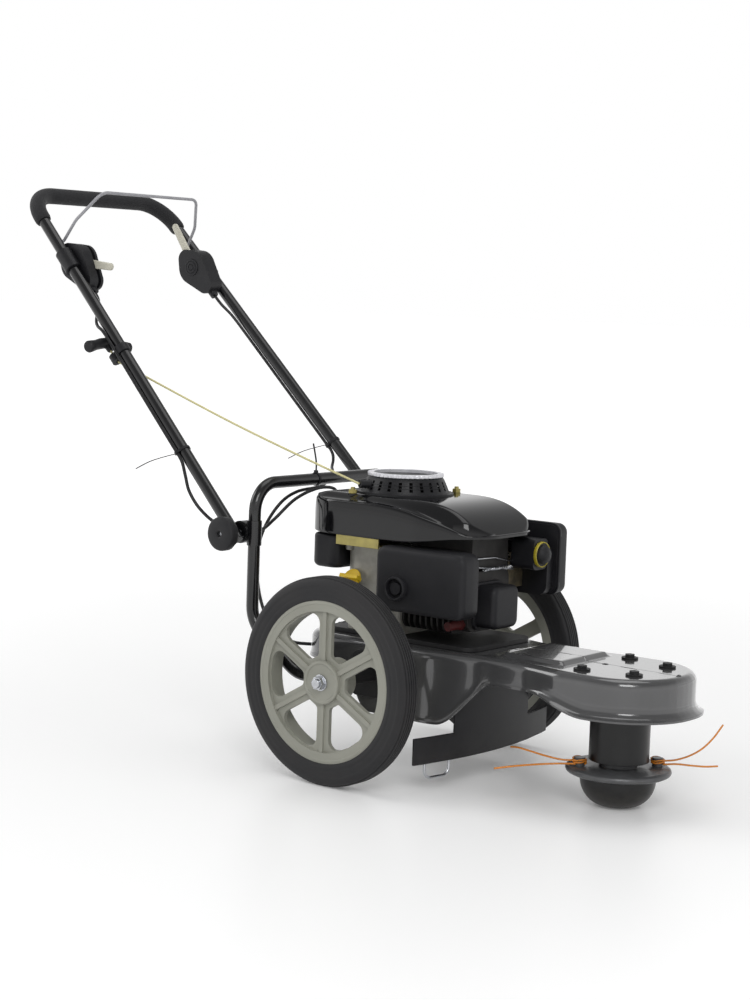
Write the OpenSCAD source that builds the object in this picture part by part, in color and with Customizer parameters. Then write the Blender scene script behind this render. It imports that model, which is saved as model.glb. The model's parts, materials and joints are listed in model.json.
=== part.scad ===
// Wheeled string trimmer: a walk-behind machine on two tall wheels and a glide dome.
// Millimetres, +X forward, +Y left, +Z up. Places along X are measured from the axle, and the whole
// machine is shifted at the end so that the origin lies on the ground below its middle.

/* [Wheels] */
// Radius of each tyre at its tread
wheel_r = 178; // [170:1:186]
// Width of each tyre
tyre_w = 42; // [38:1:46]
// Distance between the middles of the tyres
track_w = 492; // [484:1:520]
// Radius of the rim at its lips
rim_r = 138; // [130:1:146]
// Radius of the hub's round face
hub_r = 37; // [32:1:42]
// Number of spokes in each rim
spoke_count = 6; // [5:1:7]
// Width of a spoke
spoke_w = 26; // [20:1:30]
// Radius of the axle rod
axle_r = 8; // [7:0.5:9]

/* [Deck] */
// Height of the deck's flat top
deck_top_z = 232; // [228:1:240]
// Half the width of the deck beside the engine
deck_half_w = 128; // [124:1:134]
// Half the width of the deck at its waist
waist_half_w = 104; // [100:1:110]
// Distance from the axle back to the deck's rear end
deck_rear = 175; // [170:1:190]
// Distance from the axle forward to the trimmer spindle
spindle_x = 424; // [415:1:440]
// Radius of the deck's nose about the spindle
nose_r = 118; // [114:1:126]
// Width of the flared lip round the nose
flange_w = 14; // [8:1:18]
// Radius of the rounded edge round the deck's top
deck_round = 14; // [8:1:16]
// Thickness of the deck's sheet
sheet_t = 2.5; // [1.5:0.1:3]
// Height of the skirt's lower edge behind the axle
rear_skirt_z = 186; // [180:1:192]
// Height of the skirt's lower edge at the axle
leg_skirt_z = 108; // [100:1:116]
// Height of the arch in the skirt
arch_z = 188; // [180:1:192]
// Height of the nose's lower edge
nose_skirt_z = 165; // [158:1:172]

/* [Trimmer head] */
// Radius of the line disc
disc_r = 88; // [82:1:95]
// Thickness of the line disc
disc_t = 12; // [9:1:14]
// Radius of the glide dome
dome_r = 63; // [56:1:70]
// Height of the glide dome
dome_h = 54; // [48:1:58]
// Radius of the guard tube round the spindle
guard_tube_r = 50; // [46:1:56]
// Radius of the spindle shaft
spindle_r = 10; // [8:0.5:11]
// Length of the spacers between the deck and the spindle housing
spacer_l = 45; // [42:1:50]
// Diameter of the trimmer line
line_d = 3.2; // [2.4:0.1:4]

/* [Belt drive] */
// Radius of the engine pulley's groove
engine_pulley_r = 30; // [26:1:34]
// Radius of the spindle pulley's groove
spindle_pulley_r = 44; // [40:1:48]
// Height of the belt's section
belt_h = 10; // [8:1:11]
// Thickness of the belt's section
belt_t = 8; // [6:1:9]
// Radius of the idler pulley
idler_r = 19; // [16:1:21]

/* [Engine] */
// Distance from the axle back to the crankshaft
crank_back = 39; // [34:1:44]
// Height of the crankcase
case_h = 152; // [146:1:158]
// Half the width of the crankcase
case_half_w = 90; // [86:1:94]
// Radius of the crankshaft
crank_r = 12.5; // [11:0.5:14]
// Radius of the flywheel
flywheel_r = 86; // [78:1:88]
// Half the width of the cowl
cowl_half_w = 122; // [120:1:128]
// Distance from the axle back to the cowl's rear end
cowl_rear = 190; // [187:1:198]
// Distance from the axle forward to the cowl's front end
cowl_front = 193; // [186:1:203]
// Height of the cowl above its lower edge
cowl_h = 70; // [66:1:78]
// Wall of the cowl
cowl_t = 3; // [2:0.5:4]
// Radius of the starter housing at its top
starter_r = 69; // [66:1:72]
// Height of the starter housing
starter_h = 31; // [28:1:36]
// Length of the muffler guard
muffler_guard_l = 188; // [178:1:194]
// Height of the muffler guard
muffler_guard_h = 112; // [106:1:116]
// Length of the air cleaner's cover
air_cover_l = 134; // [124:1:140]
// Height of the air cleaner's cover
air_cover_h = 128; // [118:1:134]

/* [Lower handle] */
// Radius of the handle tubes
tube_r = 11; // [10:0.5:12]
// Wall of the handle tubes
tube_t = 2; // [1.5:0.1:3]
// Distance from the axle back to the lower handle's posts
post_back = 222; // [216:1:228]
// Distance between the middles of the posts
post_w = 390; // [384:1:396]
// Height of the lower handle's crossbar
bar_z = 491; // [484:1:500]
// Height of the kink at the foot of each post
kink_z = 245; // [240:1:252]

/* [Upper handle] */
// Distance from the post back to the fold's axis
pivot_back = 24; // [22:1:28]
// Height of the fold's axis
pivot_z = 404; // [398:1:410]
// Angle of the upper handle above the ground
handle_rise = 45; // [40:1:50]
// Length of the upper handle from the fold's axis to its crossbar
handle_l = 844; // [820:1:870]
// Distance between the middles of the tubes at the crossbar's corners
handle_top_w = 364; // [350:1:370]
// Radius of the foam grip
foam_r = 15.5; // [14:0.5:17]
// Length of the bail from its feet to its crossbar
bail_l = 115; // [108:1:118]
// Radius of the bail's wire
bail_r = 3; // [2.5:0.5:3.5]
// Radius of the pivot knobs
knob_r = 30; // [26:1:33]
// Radius of the control housings about their levers
control_r = 34; // [30:1:36]
// Length of the control levers
lever_l = 80; // [70:1:88]
// Length of the starter grip's bar
grip_l = 106; // [96:1:116]

/* [Hidden] */
$fn = 64;
overrun = 1;
seat_gap = 0.05;
run_gap = 0.05;
clear = 0.4;
joint = 1;
elbow_share = 0.025;
tangent_dip = 0.1;

// Numbers and points

function smooth(t) = let (k = min(max(t, 0), 1)) k * k * (3 - 2 * k);
function unit(v) = v / norm(v);
function turned(v, a) = [v.x * cos(a) - v.y * sin(a), v.x * sin(a) + v.y * cos(a)];
function crossed(a, b) = a.x * b.y - a.y * b.x;
function turn_at(a, b, c) = acos(min(max(unit(b - a) * unit(c - b), -1), 1));
function flipped(points) = [for (i = [len(points) - 1 : -1 : 0]) [points[i].x, -points[i].y]];

// Points of the arc of radius r that rounds the corner b between a and c
function corner(a, b, c, r, steps) =
  let (half = 90 - turn_at(a, b, c) / 2)
  let (centre = b + unit(unit(a - b) + unit(c - b)) * r / sin(half))
  let (start = b + unit(a - b) * r / tan(half) - centre)
  let (sweep = (180 - 2 * half) * sign(crossed(b - a, c - b)))
  [for (i = [0 : steps]) centre + turned(start, sweep * i / steps)];

// A closed outline with each corner rounded by its own radius
function rounded(points, radii, steps = 6) =
  let (n = len(points))
  [for (i = [0 : n - 1]) each corner(points[(i + n - 1) % n], points[i], points[(i + 1) % n], radii[i], steps)];

// A rectangle about the origin with round corners
function rounded_box(w, h, r) =
  rounded([[-w / 2, -h / 2], [w / 2, -h / 2], [w / 2, h / 2], [-w / 2, h / 2]], [r, r, r, r]);

// The same outline with points added along its long straight runs
function dense(points, step) =
  let (n = len(points))
  [for (i = [0 : n - 1])
    let (p = points[i], q = points[(i + 1) % n], count = max(1, ceil(norm(q - p) / step)))
    each [for (k = [0 : count - 1]) p + (q - p) * k / count]];

// Outward normals of a closed outline that runs anticlockwise
function normals(points) =
  let (n = len(points))
  [for (i = [0 : n - 1]) let (t = unit(points[(i + 1) % n] - points[(i + n - 1) % n])) [t.y, -t.x]];

// Faces of a skin over equal closed rings: wrapped joins the last ring to the first, else both ends are capped
function skin(rings, size, wrapped = false, inward = false) =
  let (sides = [for (k = [0 : rings - (wrapped ? 1 : 2)]) for (i = [0 : size - 1])
    let (a = k * size + i, b = k * size + (i + 1) % size, up = (k + 1) % rings * size)
    let (c = up + (i + 1) % size, d = up + i)
    each inward ? [[a, b, c], [a, c, d]] : [[a, c, b], [a, d, c]]])
  let (low = [for (i = [0 : size - 1]) i], high = [for (i = [size - 1 : -1 : 0]) (rings - 1) * size + i])
  wrapped ? sides : concat(sides, inward ? [flip(low), flip(high)] : [low, high]);
function flip(list) = [for (i = [len(list) - 1 : -1 : 0]) list[i]];

// A smooth curve through the points, with steps rings from one to the next
function curve(p, steps) = [
  for (i = [0 : len(p) - 2]) for (k = [0 : steps - 1])
    let (t = k / steps, a = p[max(i - 1, 0)], b = p[i], c = p[i + 1], d = p[min(i + 2, len(p) - 1)])
    (2 * b + (c - a) * t + (2 * a - 5 * b + 4 * c - d) * t * t + (3 * b - a - 3 * c + d) * t * t * t) / 2,
  p[len(p) - 1]
];

// Flat sides between a round end of radius r0 at the origin and one of radius r1 at the distance d along X,
// a hair inside the tangents so that they cross the round walls
function tangent_quad(r0, r1, d) =
  let (lean = asin((r1 - r0) / d), a = r0 - tangent_dip, b = r1 - tangent_dip)
  [[-a * sin(lean), -a * cos(lean)], [d - b * sin(lean), -b * cos(lean)],
   [d - b * sin(lean), b * cos(lean)], [-a * sin(lean), a * cos(lean)]];

// Shapes that repeat

module teardrop(r0, r1, d, h) {
  cylinder(h = h, r = r0);
  translate([d, 0, 0]) cylinder(h = h, r = r1);
  linear_extrude(h) polygon(tangent_quad(r0, r1, d));
}

module ring(outer, inner, h) {
  difference() {
    cylinder(h = h, r = outer);
    translate([0, 0, -overrun]) cylinder(h = h + 2 * overrun, r = inner);
  }
}

module slab(w, l, h, r) {
  linear_extrude(h) polygon(rounded_box(w, l, r));
}

module hex_head(r, h) {
  cylinder(h = h, r = r, $fn = 6);
}

// A round bar along flat points in the XY plane, with an elbow of radius bend at each inner point, drawn from
// its first or a later straight on; each elbow is a hair thicker and the straights run a little way into it
// One bend for every corner of a bar, or a list with one for each point
function bend_at(bend, i) = is_list(bend) ? bend[i] : bend;

module bent_bar(points, bend, r, first = 0) {
  last = len(points) - 1;
  cuts = [for (i = [0 : last])
    i == 0 || i == last ? 0 : bend_at(bend, i) * tan(turn_at(points[i - 1], points[i], points[i + 1]) / 2)];
  for (i = [first : last - 1]) {
    along = unit(points[i + 1] - points[i]);
    low = i == 0 ? 0 : joint;
    high = i == last - 1 ? 0 : joint;
    from = points[i] + along * (cuts[i] - low);
    run = norm(points[i + 1] - points[i]) - cuts[i] - cuts[i + 1] + low + high;
    translate([from.x, from.y, 0]) rotate([0, 90, atan2(along.y, along.x)]) cylinder(h = run, r = r);
  }
  for (i = [1 : last - 1]) elbow(points[i - 1], points[i], points[i + 1], bend_at(bend, i), r);
}

module elbow(a, b, c, bend, r) {
  half = 90 - turn_at(a, b, c) / 2;
  centre = b + unit(unit(a - b) + unit(c - b)) * bend / sin(half);
  left = crossed(b - a, c - b) > 0;
  from = b + unit((left ? a : c) - b) * bend / tan(half) - centre;
  translate([centre.x, centre.y, 0]) rotate([0, 0, atan2(from.y, from.x)])
    rotate_extrude(angle = 180 - 2 * half) translate([bend, 0]) circle(r * (1 + elbow_share));
}

// The same path with both ends pushed out
function stretched(points, extra) =
  let (n = len(points))
  [for (i = [0 : n - 1])
    i == 0 ? points[0] + unit(points[0] - points[1]) * extra
    : i == n - 1 ? points[i] + unit(points[i] - points[i - 1]) * extra : points[i]];

module bent_tube(points, bend, outer, inner) {
  difference() {
    bent_bar(points, bend, outer);
    bent_bar(stretched(points, overrun), bend, inner);
  }
}

// A cord of a given radius along a curve, with rings turned to face along it
module cord(path, r, sides, side_on) {
  last = len(path) - 1;
  rings = [for (i = [0 : last])
    let (t = unit(path[min(i + 1, last)] - path[max(i - 1, 0)]), s = unit(cross(t, side_on)), u = cross(t, s))
    each [for (k = [0 : sides - 1]) path[i] + r * (s * cos(360 * k / sides) + u * sin(360 * k / sides))]];
  polyhedron(rings, skin(last + 1, sides));
}

module at_side(side) {
  if (side < 0) mirror([0, 1, 0]) children();
  else children();
}

// Wheels

rim_inset = 2;
rim_w = tyre_w - 2 * rim_inset;
lip_t = 4;
lip_h = 9;
band_t = 9;
seat_r = rim_r - lip_h;
band_r = seat_r - band_t;
web_t = 8;
web_inset = 6;
rib_w = 8;
rib_inset = 2;
hub_in = 27;
hub_face = track_w / 2 + tyre_w / 2;
window_gap = 9;
window_inner_round = 8;
window_outer_round = 16;
window_reach = 2;
tread_share = 0.55;
shoulder_share = 0.85;
shoulder_drop = 4;
shoulder_h = 14;
flank_h = 10;

// Local Z runs outward along the axle from the machine's middle
module axle_frame(side) {
  at_side(side) translate([0, 0, wheel_r]) rotate([-90, 0, 0]) children();
}

module tyre(side) {
  bead = rim_w / 2 - lip_t - seat_gap;
  half = [
    [wheel_r, tread_share * tyre_w / 2], [wheel_r - shoulder_drop, shoulder_share * tyre_w / 2],
    [wheel_r - shoulder_h, tyre_w / 2], [rim_r + flank_h, tyre_w / 2], [rim_r + seat_gap, rim_w / 2],
    [rim_r + seat_gap, bead], [seat_r + seat_gap, bead]
  ];
  axle_frame(side) translate([0, 0, track_w / 2]) rotate_extrude() polygon(concat(half, flipped(half)));
}

// Outline of the window centred on +X: two sides along the spokes, an arc outside and a blunt inner end
function window() =
  let (gap = 180 / spoke_count, inner = hub_r + window_gap, outer = band_r - window_reach)
  let (low = gap - asin(spoke_w / 2 / inner), high = gap - asin(spoke_w / 2 / outer))
  let (arc = [for (k = [-1 : 0.5 : 1]) outer * [cos(high * k), sin(high * k)]])
  rounded(concat([[inner * cos(low), -inner * sin(low)]], arc, [[inner * cos(low), inner * sin(low)]]),
    [window_inner_round, window_outer_round, window_outer_round, window_outer_round, window_outer_round,
     window_outer_round, window_inner_round], 5);

module rim(side) {
  half = rim_w / 2;
  web_z = half - web_inset - web_t;
  axle_frame(side) translate([0, 0, track_w / 2]) difference() {
    union() {
      rotate_extrude() polygon([
        [band_r, -half], [rim_r, -half], [rim_r, lip_t - half], [seat_r, lip_t - half],
        [seat_r, half - lip_t], [rim_r, half - lip_t], [rim_r, half], [band_r, half]
      ]);
      difference() {
        translate([0, 0, web_z]) cylinder(h = web_t, r = (band_r + seat_r) / 2);
        for (i = [0 : spoke_count - 1]) rotate([0, 0, 90 + 360 / spoke_count * (i + 0.5)])
          translate([0, 0, web_z - overrun]) linear_extrude(web_t + 2 * overrun) polygon(window());
      }
      for (i = [0 : spoke_count - 1]) rotate([0, 0, 90 + 360 / spoke_count * i])
        translate([0, -rib_w / 2, web_z + web_t / 2])
          cube([(band_r + seat_r) / 2, rib_w, web_t / 2 + web_inset - rib_inset]);
      translate([0, 0, -hub_in]) cylinder(h = hub_in + tyre_w / 2, r = hub_r);
    }
    translate([0, 0, -hub_in - overrun]) cylinder(h = hub_in + tyre_w + 2 * overrun, r = axle_r + run_gap);
  }
}

module right_tyre() { color([0.13, 0.13, 0.13]) tyre(-1); }
module left_tyre() { color([0.13, 0.13, 0.13]) tyre(1); }
module right_rim() { color([0.64, 0.63, 0.58]) rim(-1); }
module left_rim() { color([0.64, 0.63, 0.58]) rim(1); }

washer_t = 2.5;
washer_r = 14;
nut_h = 9;
nut_r = 12;
stub_l = 4;
washer_z = hub_face + clear;
nut_z = washer_z + washer_t + seat_gap;

module axle_rod() {
  color([0.7, 0.7, 0.72]) translate([0, 0, wheel_r]) rotate([90, 0, 0])
    cylinder(h = 2 * (nut_z + nut_h + stub_l), r = axle_r, center = true);
}

module axle_nuts() {
  color([0.72, 0.73, 0.75]) for (side = [-1, 1]) axle_frame(side) {
    translate([0, 0, washer_z]) ring(washer_r, axle_r + seat_gap, washer_t);
    translate([0, 0, nut_z]) difference() {
      hex_head(nut_r, nut_h);
      translate([0, 0, -overrun]) cylinder(h = nut_h + 2 * overrun, r = axle_r + seat_gap);
    }
  }
}

sleeve_r = 15;
bracket_t = 5;
bracket_half_l = 42;
bracket_drop = 44;
bracket_round = 12;

module axle_bracket(side) {
  rise = deck_top_z - deck_round - wheel_r - bracket_t;
  color([0.1, 0.1, 0.11]) axle_frame(side) difference() {
    union() {
      translate([0, (bracket_drop - rise) / 2, deck_half_w])
        slab(2 * bracket_half_l, bracket_drop + rise, bracket_t, bracket_round);
      translate([0, 0, deck_half_w]) cylinder(h = track_w / 2 - hub_in - clear - deck_half_w, r = sleeve_r);
    }
    translate([0, 0, deck_half_w - overrun]) cylinder(h = track_w / 2, r = axle_r + seat_gap);
  }
}

module axle_brackets() {
  axle_bracket(-1);
  axle_bracket(1);
}

// Deck

deck_step = 24;
rear_round = 70;
rear_fore = 120;
waist_rear = 205;
waist_fore = 300;
swell_fore = 370;
swell_round = 60;
nose_round_share = 0.93;
lip_w = 3;
lip_run = 40;
flare_h = 20;
flare_shares = [0, 0.12, 0.45, 1];
flare_rise_shares = [1, 0.62, 0.3, 0.1];
leg_rear = 70;
leg_run = 60;
leg_fore = 135;
arch_run = 105;
nose_fore = 320;
nose_run = 110;

deck_half = [
  [-deck_rear, -deck_half_w], [rear_fore, -deck_half_w], [waist_rear, -waist_half_w],
  [waist_fore, -waist_half_w], [swell_fore, -nose_r], [spindle_x + nose_r, -nose_r]
];
deck_radii = [rear_round, swell_round, rear_round, rear_round, swell_round, nose_r * nose_round_share];
deck_line = dense(
  rounded(concat(deck_half, flipped(deck_half)), concat(deck_radii, flip(deck_radii))), deck_step);
deck_normals = normals(deck_line);

// The skirt drops to a leg at the axle, rises in an arch and falls again to the nose
function skirt_z(x) =
  rear_skirt_z - (rear_skirt_z - leg_skirt_z) * smooth((x + leg_rear) / leg_run)
  + (arch_z - leg_skirt_z) * smooth((x - leg_fore) / arch_run)
  - (arch_z - nose_skirt_z) * smooth((x - nose_fore) / nose_run);
function lip(x) = lip_w * smooth((abs(x) - bracket_half_l - deck_step) / lip_run)
  + (flange_w - lip_w) * smooth((x - waist_fore) / nose_run);

// One ring of the deck's skin, moved out by grow of each place along the deck
function deck_ring(grow, flare, z, low) = [for (i = [0 : len(deck_line) - 1])
  let (p = deck_line[i], out = grow + flare * lip(p.x))
  [p.x + deck_normals[i].x * out, p.y + deck_normals[i].y * out, z + low * skirt_z(p.x)]];

// Rings from the top's edge over the rounded rim and down the wall to the lip, at a depth below the outside
function deck_wall(depth) = concat(
  [for (a = [0 : 30 : 90]) deck_ring(
    (deck_round - depth) * sin(a) - deck_round, 0, deck_top_z - deck_round + (deck_round - depth) * cos(a), 0)],
  [for (k = [0 : len(flare_shares) - 1])
    deck_ring(-depth, flare_shares[k], flare_h * flare_rise_shares[k], 1)],
  [deck_ring(-depth, 1, 0, 1)]);

bolt_rear_back = 32;
bolt_rear_y = 75;
bolt_fore = 53;
bolt_fore_y = 53;
spindle_bolt_places = [for (side = [-1, 1]) each
  [[spindle_x - bolt_rear_back, side * bolt_rear_y], [spindle_x + bolt_fore, side * bolt_fore_y]]];
bolt_r = 5;
boss_r = 30;
boss_gap = 3;
pad_l = 120;
pad_w = 144;
pad_h = 7;
pad_x = 292;
pad_round = 12;
peep_w = 7;
peep_x = 390;

// The skin's two flat caps as fans about a middle point, which every place on the deck's outline can see
module deck_skin() {
  rings = concat(deck_wall(0), flip(deck_wall(sheet_t)));
  n = len(deck_line);
  last = (len(rings) - 1) * n;
  mid = len(rings) * n;
  middle = (spindle_x + nose_r - deck_rear) / 2;
  sides = skin(len(rings), n, inward = true);
  polyhedron(
    concat([for (r = rings) each r], [[middle, 0, deck_top_z], [middle, 0, deck_top_z - sheet_t]]),
    concat(
      [for (i = [0 : len(sides) - 3]) sides[i]],
      [for (i = [0 : n - 1]) [(i + 1) % n, i, mid]],
      [for (i = [0 : n - 1]) [last + i, last + (i + 1) % n, mid + 1]]));
}

module deck_shell() {
  color([0.33, 0.34, 0.36]) difference() {
    union() {
      deck_skin();
      translate([pad_x, 0, deck_top_z - sheet_t / 2]) slab(pad_l, pad_w, pad_h + sheet_t / 2, pad_round);
      translate([idler_pivot_x, idler_pivot_y, idler_arm_z - clear])
        cylinder(h = deck_top_z - sheet_t / 2 - idler_arm_z + clear, r = idler_bolt_r);
    }
    for (p = spindle_bolt_places) translate([p.x, p.y, deck_top_z - deck_round])
      cylinder(h = 2 * deck_round, r = bolt_r + seat_gap);
    translate([-crank_back, 0, deck_top_z - deck_round]) cylinder(h = 2 * deck_round, r = boss_r + boss_gap);
    translate([0, 0, wheel_r]) rotate([90, 0, 0]) cylinder(h = track_w, r = axle_r + seat_gap, center = true);
    translate([peep_x, 0, deck_top_z]) cube([peep_w, peep_w, 2 * deck_round], center = true);
  }
}

plate_t = 8;
plate_l = 316;
plate_w = 190;
plate_x = 26;
plate_round = 24;

module engine_plate() {
  color([0.09, 0.09, 0.1]) difference() {
    translate([plate_x, 0, deck_top_z]) slab(plate_l, plate_w, plate_t, plate_round);
    translate([-crank_back, 0, deck_top_z - overrun])
      cylinder(h = plate_t + 2 * overrun, r = boss_r + seat_gap);
  }
}

guard_x = 176;
guard_back = 26;
guard_gap = 25;
guard_half_w = track_w / 2 - tyre_w / 2 - guard_gap;
guard_low_z = 50;
guard_wing_z = 96;
guard_top_z = 186;
guard_t = 4;
guard_neck_half_w = 110;
guard_tab_half_w = 26;

skid_r = 2.5;
skid_w = 56;
skid_in = 58;
skid_y = guard_half_w - skid_in;
skid_edge = 5;
// The guard is bowed by the square of the distance from its middle, in flat strips between these distances
guard_knots = [0, guard_tab_half_w, (guard_tab_half_w + guard_neck_half_w) / 2, guard_neck_half_w,
  skid_y + skid_w / 2 + skid_edge, guard_half_w];
function guard_bow(y) = guard_x - guard_back * pow(y / guard_half_w, 2);
function guard_plan(half) =
  let (ys = [for (y = guard_knots) if (y <= half) y], n = len(ys) - 1)
  let (across = concat([for (i = [0 : n]) -ys[n - i]], [for (i = [1 : n]) ys[i]]))
  concat([for (y = across) [guard_bow(y) - guard_t, y]], flip([for (y = across) [guard_bow(y), y]]));

module debris_guard() {
  color([0.08, 0.08, 0.09]) {
    translate([0, 0, guard_low_z]) linear_extrude(guard_wing_z - guard_low_z) polygon(guard_plan(guard_half_w));
    translate([0, 0, guard_low_z]) linear_extrude(guard_top_z - guard_low_z)
      polygon(guard_plan(guard_neck_half_w));
    translate([0, 0, guard_low_z]) linear_extrude(deck_top_z - sheet_t - guard_low_z)
      polygon(guard_plan(guard_tab_half_w));
  }
}

skid_low_z = 24;
skid_top_z = 84;
skid_bend = 14;

module skid_wire() {
  from = guard_knots[3];
  to = guard_knots[4];
  slope = (guard_bow(from) - guard_bow(to)) / (to - from);
  slant = atan(slope);
  x = guard_bow(from) - slope * (skid_y - from) - guard_t - (skid_r + seat_gap) / cos(slant);
  color([0.75, 0.76, 0.78]) translate([x, -skid_y, 0]) rotate([90, 0, 90 - slant]) bent_bar([
    [-skid_w / 2, skid_top_z], [-skid_w / 2, skid_low_z], [skid_w / 2, skid_low_z], [skid_w / 2, skid_top_z]
  ], skid_bend, skid_r);
}

// Trimmer head

disc_gap = 0.5;
disc_z = dome_h + disc_gap;
disc_top_z = disc_z + disc_t;
disc_hub_r = 32;
disc_hub_h = 12;
tube_gap = 10;
tube_wall = 4;
housing_t = 6;
housing_z = deck_top_z - sheet_t - spacer_l - housing_t;
housing_margin = 14;
carrier_r = 30;
bearing_r = 24;
bearing_h = 14;
bearing_lip = 4;
carrier_z = disc_top_z + disc_hub_h + tube_gap / 2;
spacer_r = 9;

module spindle_housing() {
  outline = [
    [spindle_x - bolt_rear_back - housing_margin, -bolt_rear_y - housing_margin],
    [spindle_x + bolt_fore + housing_margin, -bolt_fore_y - housing_margin],
    [spindle_x + bolt_fore + housing_margin, bolt_fore_y + housing_margin],
    [spindle_x - bolt_rear_back - housing_margin, bolt_rear_y + housing_margin]
  ];
  tube_z = disc_top_z + tube_gap;
  color([0.07, 0.07, 0.08]) difference() {
    union() {
      translate([0, 0, housing_z]) linear_extrude(housing_t)
        polygon(rounded(outline, [for (i = [0 : 3]) housing_margin]));
      translate([spindle_x, 0, tube_z])
        ring(guard_tube_r, guard_tube_r - tube_wall, housing_z - tube_z + housing_t / 2);
      translate([spindle_x, 0, carrier_z]) cylinder(h = housing_z - carrier_z + housing_t / 2, r = carrier_r);
      for (p = spindle_bolt_places) translate([p.x, p.y, housing_z + housing_t / 2])
        cylinder(h = spacer_l + housing_t / 2, r = spacer_r);
    }
    translate([spindle_x, 0, carrier_z - overrun]) cylinder(h = bearing_h + overrun, r = bearing_r + seat_gap);
    translate([spindle_x, 0, housing_z + housing_t - bearing_h])
      cylinder(h = bearing_h + overrun, r = bearing_r + seat_gap);
    translate([spindle_x, 0, carrier_z]) cylinder(h = housing_z - carrier_z, r = bearing_r - bearing_lip);
    for (p = spindle_bolt_places) translate([p.x, p.y, housing_z - overrun])
      cylinder(h = housing_t + spacer_l + 2 * overrun, r = bolt_r + seat_gap);
  }
}

module spindle_bearings() {
  color([0.75, 0.75, 0.78]) for (z = [carrier_z, housing_z + housing_t - bearing_h])
    translate([spindle_x, 0, z]) ring(bearing_r, spindle_r + run_gap, bearing_h);
}

bolt_flange_r = 14;
bolt_flange_t = 3;
bolt_head_r = 9;
bolt_head_h = 5;
bolt_nut_h = 8;

module spindle_bolts() {
  color([0.06, 0.06, 0.07]) for (p = spindle_bolt_places) translate([p.x, p.y, 0]) {
    translate([0, 0, deck_top_z]) cylinder(h = bolt_flange_t, r = bolt_flange_r);
    translate([0, 0, deck_top_z]) hex_head(bolt_head_r, bolt_flange_t + bolt_head_h);
    translate([0, 0, housing_z - bolt_nut_h]) cylinder(h = deck_top_z - housing_z + bolt_nut_h, r = bolt_r);
    translate([0, 0, housing_z - bolt_nut_h]) hex_head(bolt_head_r, bolt_nut_h);
  }
}

dome_stem_r = 8;
dome_floor = 14;
dome_rim_h = 8;
dome_flat_r = 20;
belt_drop = 27;
belt_z = deck_top_z - belt_drop;
pulley_wall = 3;
pulley_lip = 9;
shaft_top = 6;

module spindle_shaft() {
  stem_top = disc_z - disc_gap / 2;
  color([0.7, 0.7, 0.72]) translate([spindle_x, 0, 0]) {
    translate([0, 0, stem_top])
      cylinder(h = belt_z + belt_h / 2 + pulley_wall + shaft_top - stem_top, r = spindle_r);
    translate([0, 0, dome_floor + clear]) cylinder(h = stem_top - dome_floor - clear, r = dome_stem_r);
  }
}

// A pulley with a flat groove between two lips
module pulley(groove_r, bore_r) {
  difference() {
    union() {
      translate([0, 0, -belt_h / 2 - clear]) cylinder(h = belt_h + 2 * clear, r = groove_r);
      for (z = [-belt_h / 2 - clear - pulley_wall, belt_h / 2 + clear])
        translate([0, 0, z]) cylinder(h = pulley_wall, r = groove_r + pulley_lip);
    }
    translate([0, 0, -belt_h]) cylinder(h = 2 * belt_h, r = bore_r);
  }
}

module spindle_pulley() {
  color([0.35, 0.35, 0.37]) translate([spindle_x, 0, belt_z]) pulley(spindle_pulley_r, spindle_r + seat_gap);
}

disc_edge = 6;
disc_bevel = 1.5;
disc_bevel_h = 2.5;
post_reach = 66;
post_r = 9;
post_h = 14;
post_turn = 45;

module line_disc() {
  bore = spindle_r + seat_gap;
  color([0.36, 0.37, 0.38]) translate([spindle_x, 0, disc_z]) {
    rotate_extrude() polygon([
      [bore, 0], [disc_r - disc_edge, 0], [disc_r - disc_bevel, disc_bevel_h], [disc_r, disc_t / 2],
      [disc_r - disc_bevel, disc_t - disc_bevel_h], [disc_r - disc_edge, disc_t], [disc_hub_r, disc_t],
      [disc_hub_r, disc_t + disc_hub_h], [bore, disc_t + disc_hub_h]
    ]);
    for (side = [-1, 1]) rotate([0, 0, post_turn]) translate([side * post_reach, 0, disc_t / 2])
      cylinder(h = disc_t / 2 + post_h, r = post_r);
  }
}

// Each line end: its post's side, the turn about the post where it starts, its start above the disc, and its
// further places measured from the spindle on the disc's top
line_ends = [
  [-1, 254, 10, [[-66, -70, 10], [-90, -82, 14], [-120, -86, 18], [-146, -80, 18], [-168, -70, 14]]],
  [-1, 264, 4, [[-68, -76, 4], [-94, -100, 2], [-118, -130, 0], [-142, -156, -4]]],
  [1, 10, 10, [[68, 68, 10], [78, 96, 14], [84, 128, 22], [87, 160, 36], [88, 190, 54]]],
  [1, 0, 4, [[72, 66, 4], [86, 90, 0], [98, 116, -4], [107, 142, -6]]]
];
line_sides = 8;
line_steps = 3;
function line_start(end) =
  let (r = post_r + line_d / 2 + seat_gap, post = end[0] * post_reach * [cos(post_turn), sin(post_turn)])
  [post.x + r * cos(end[1]), post.y + r * sin(end[1]), end[2]];

module trimmer_lines() {
  color([0.9, 0.55, 0.12]) for (end = line_ends) translate([spindle_x, 0, disc_top_z])
    cord(curve(concat([line_start(end)], end[3]), line_steps), line_d / 2, line_sides, [0, 0, 1]);
}

// The dome is a bowl whose side rises from a small flat to an upright rim
module glide_dome() {
  bowl = [for (a = [0 : 7.5 : 90])
    [dome_flat_r + (dome_r - dome_flat_r) * sin(a), (dome_h - dome_rim_h) * (1 - cos(a))]];
  color([0.05, 0.05, 0.06]) translate([spindle_x, 0, 0]) difference() {
    rotate_extrude() polygon(concat([[0, 0]], bowl, [[dome_r, dome_h], [0, dome_h]]));
    translate([0, 0, dome_floor]) cylinder(h = dome_h, r = dome_stem_r + run_gap);
  }
}

// Belt drive

belt_gap = 0.35;
drive_span = spindle_x + crank_back;

module belt_loop(grow, h) {
  teardrop(engine_pulley_r + belt_gap + grow, spindle_pulley_r + belt_gap + grow, drive_span, h);
}

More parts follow.
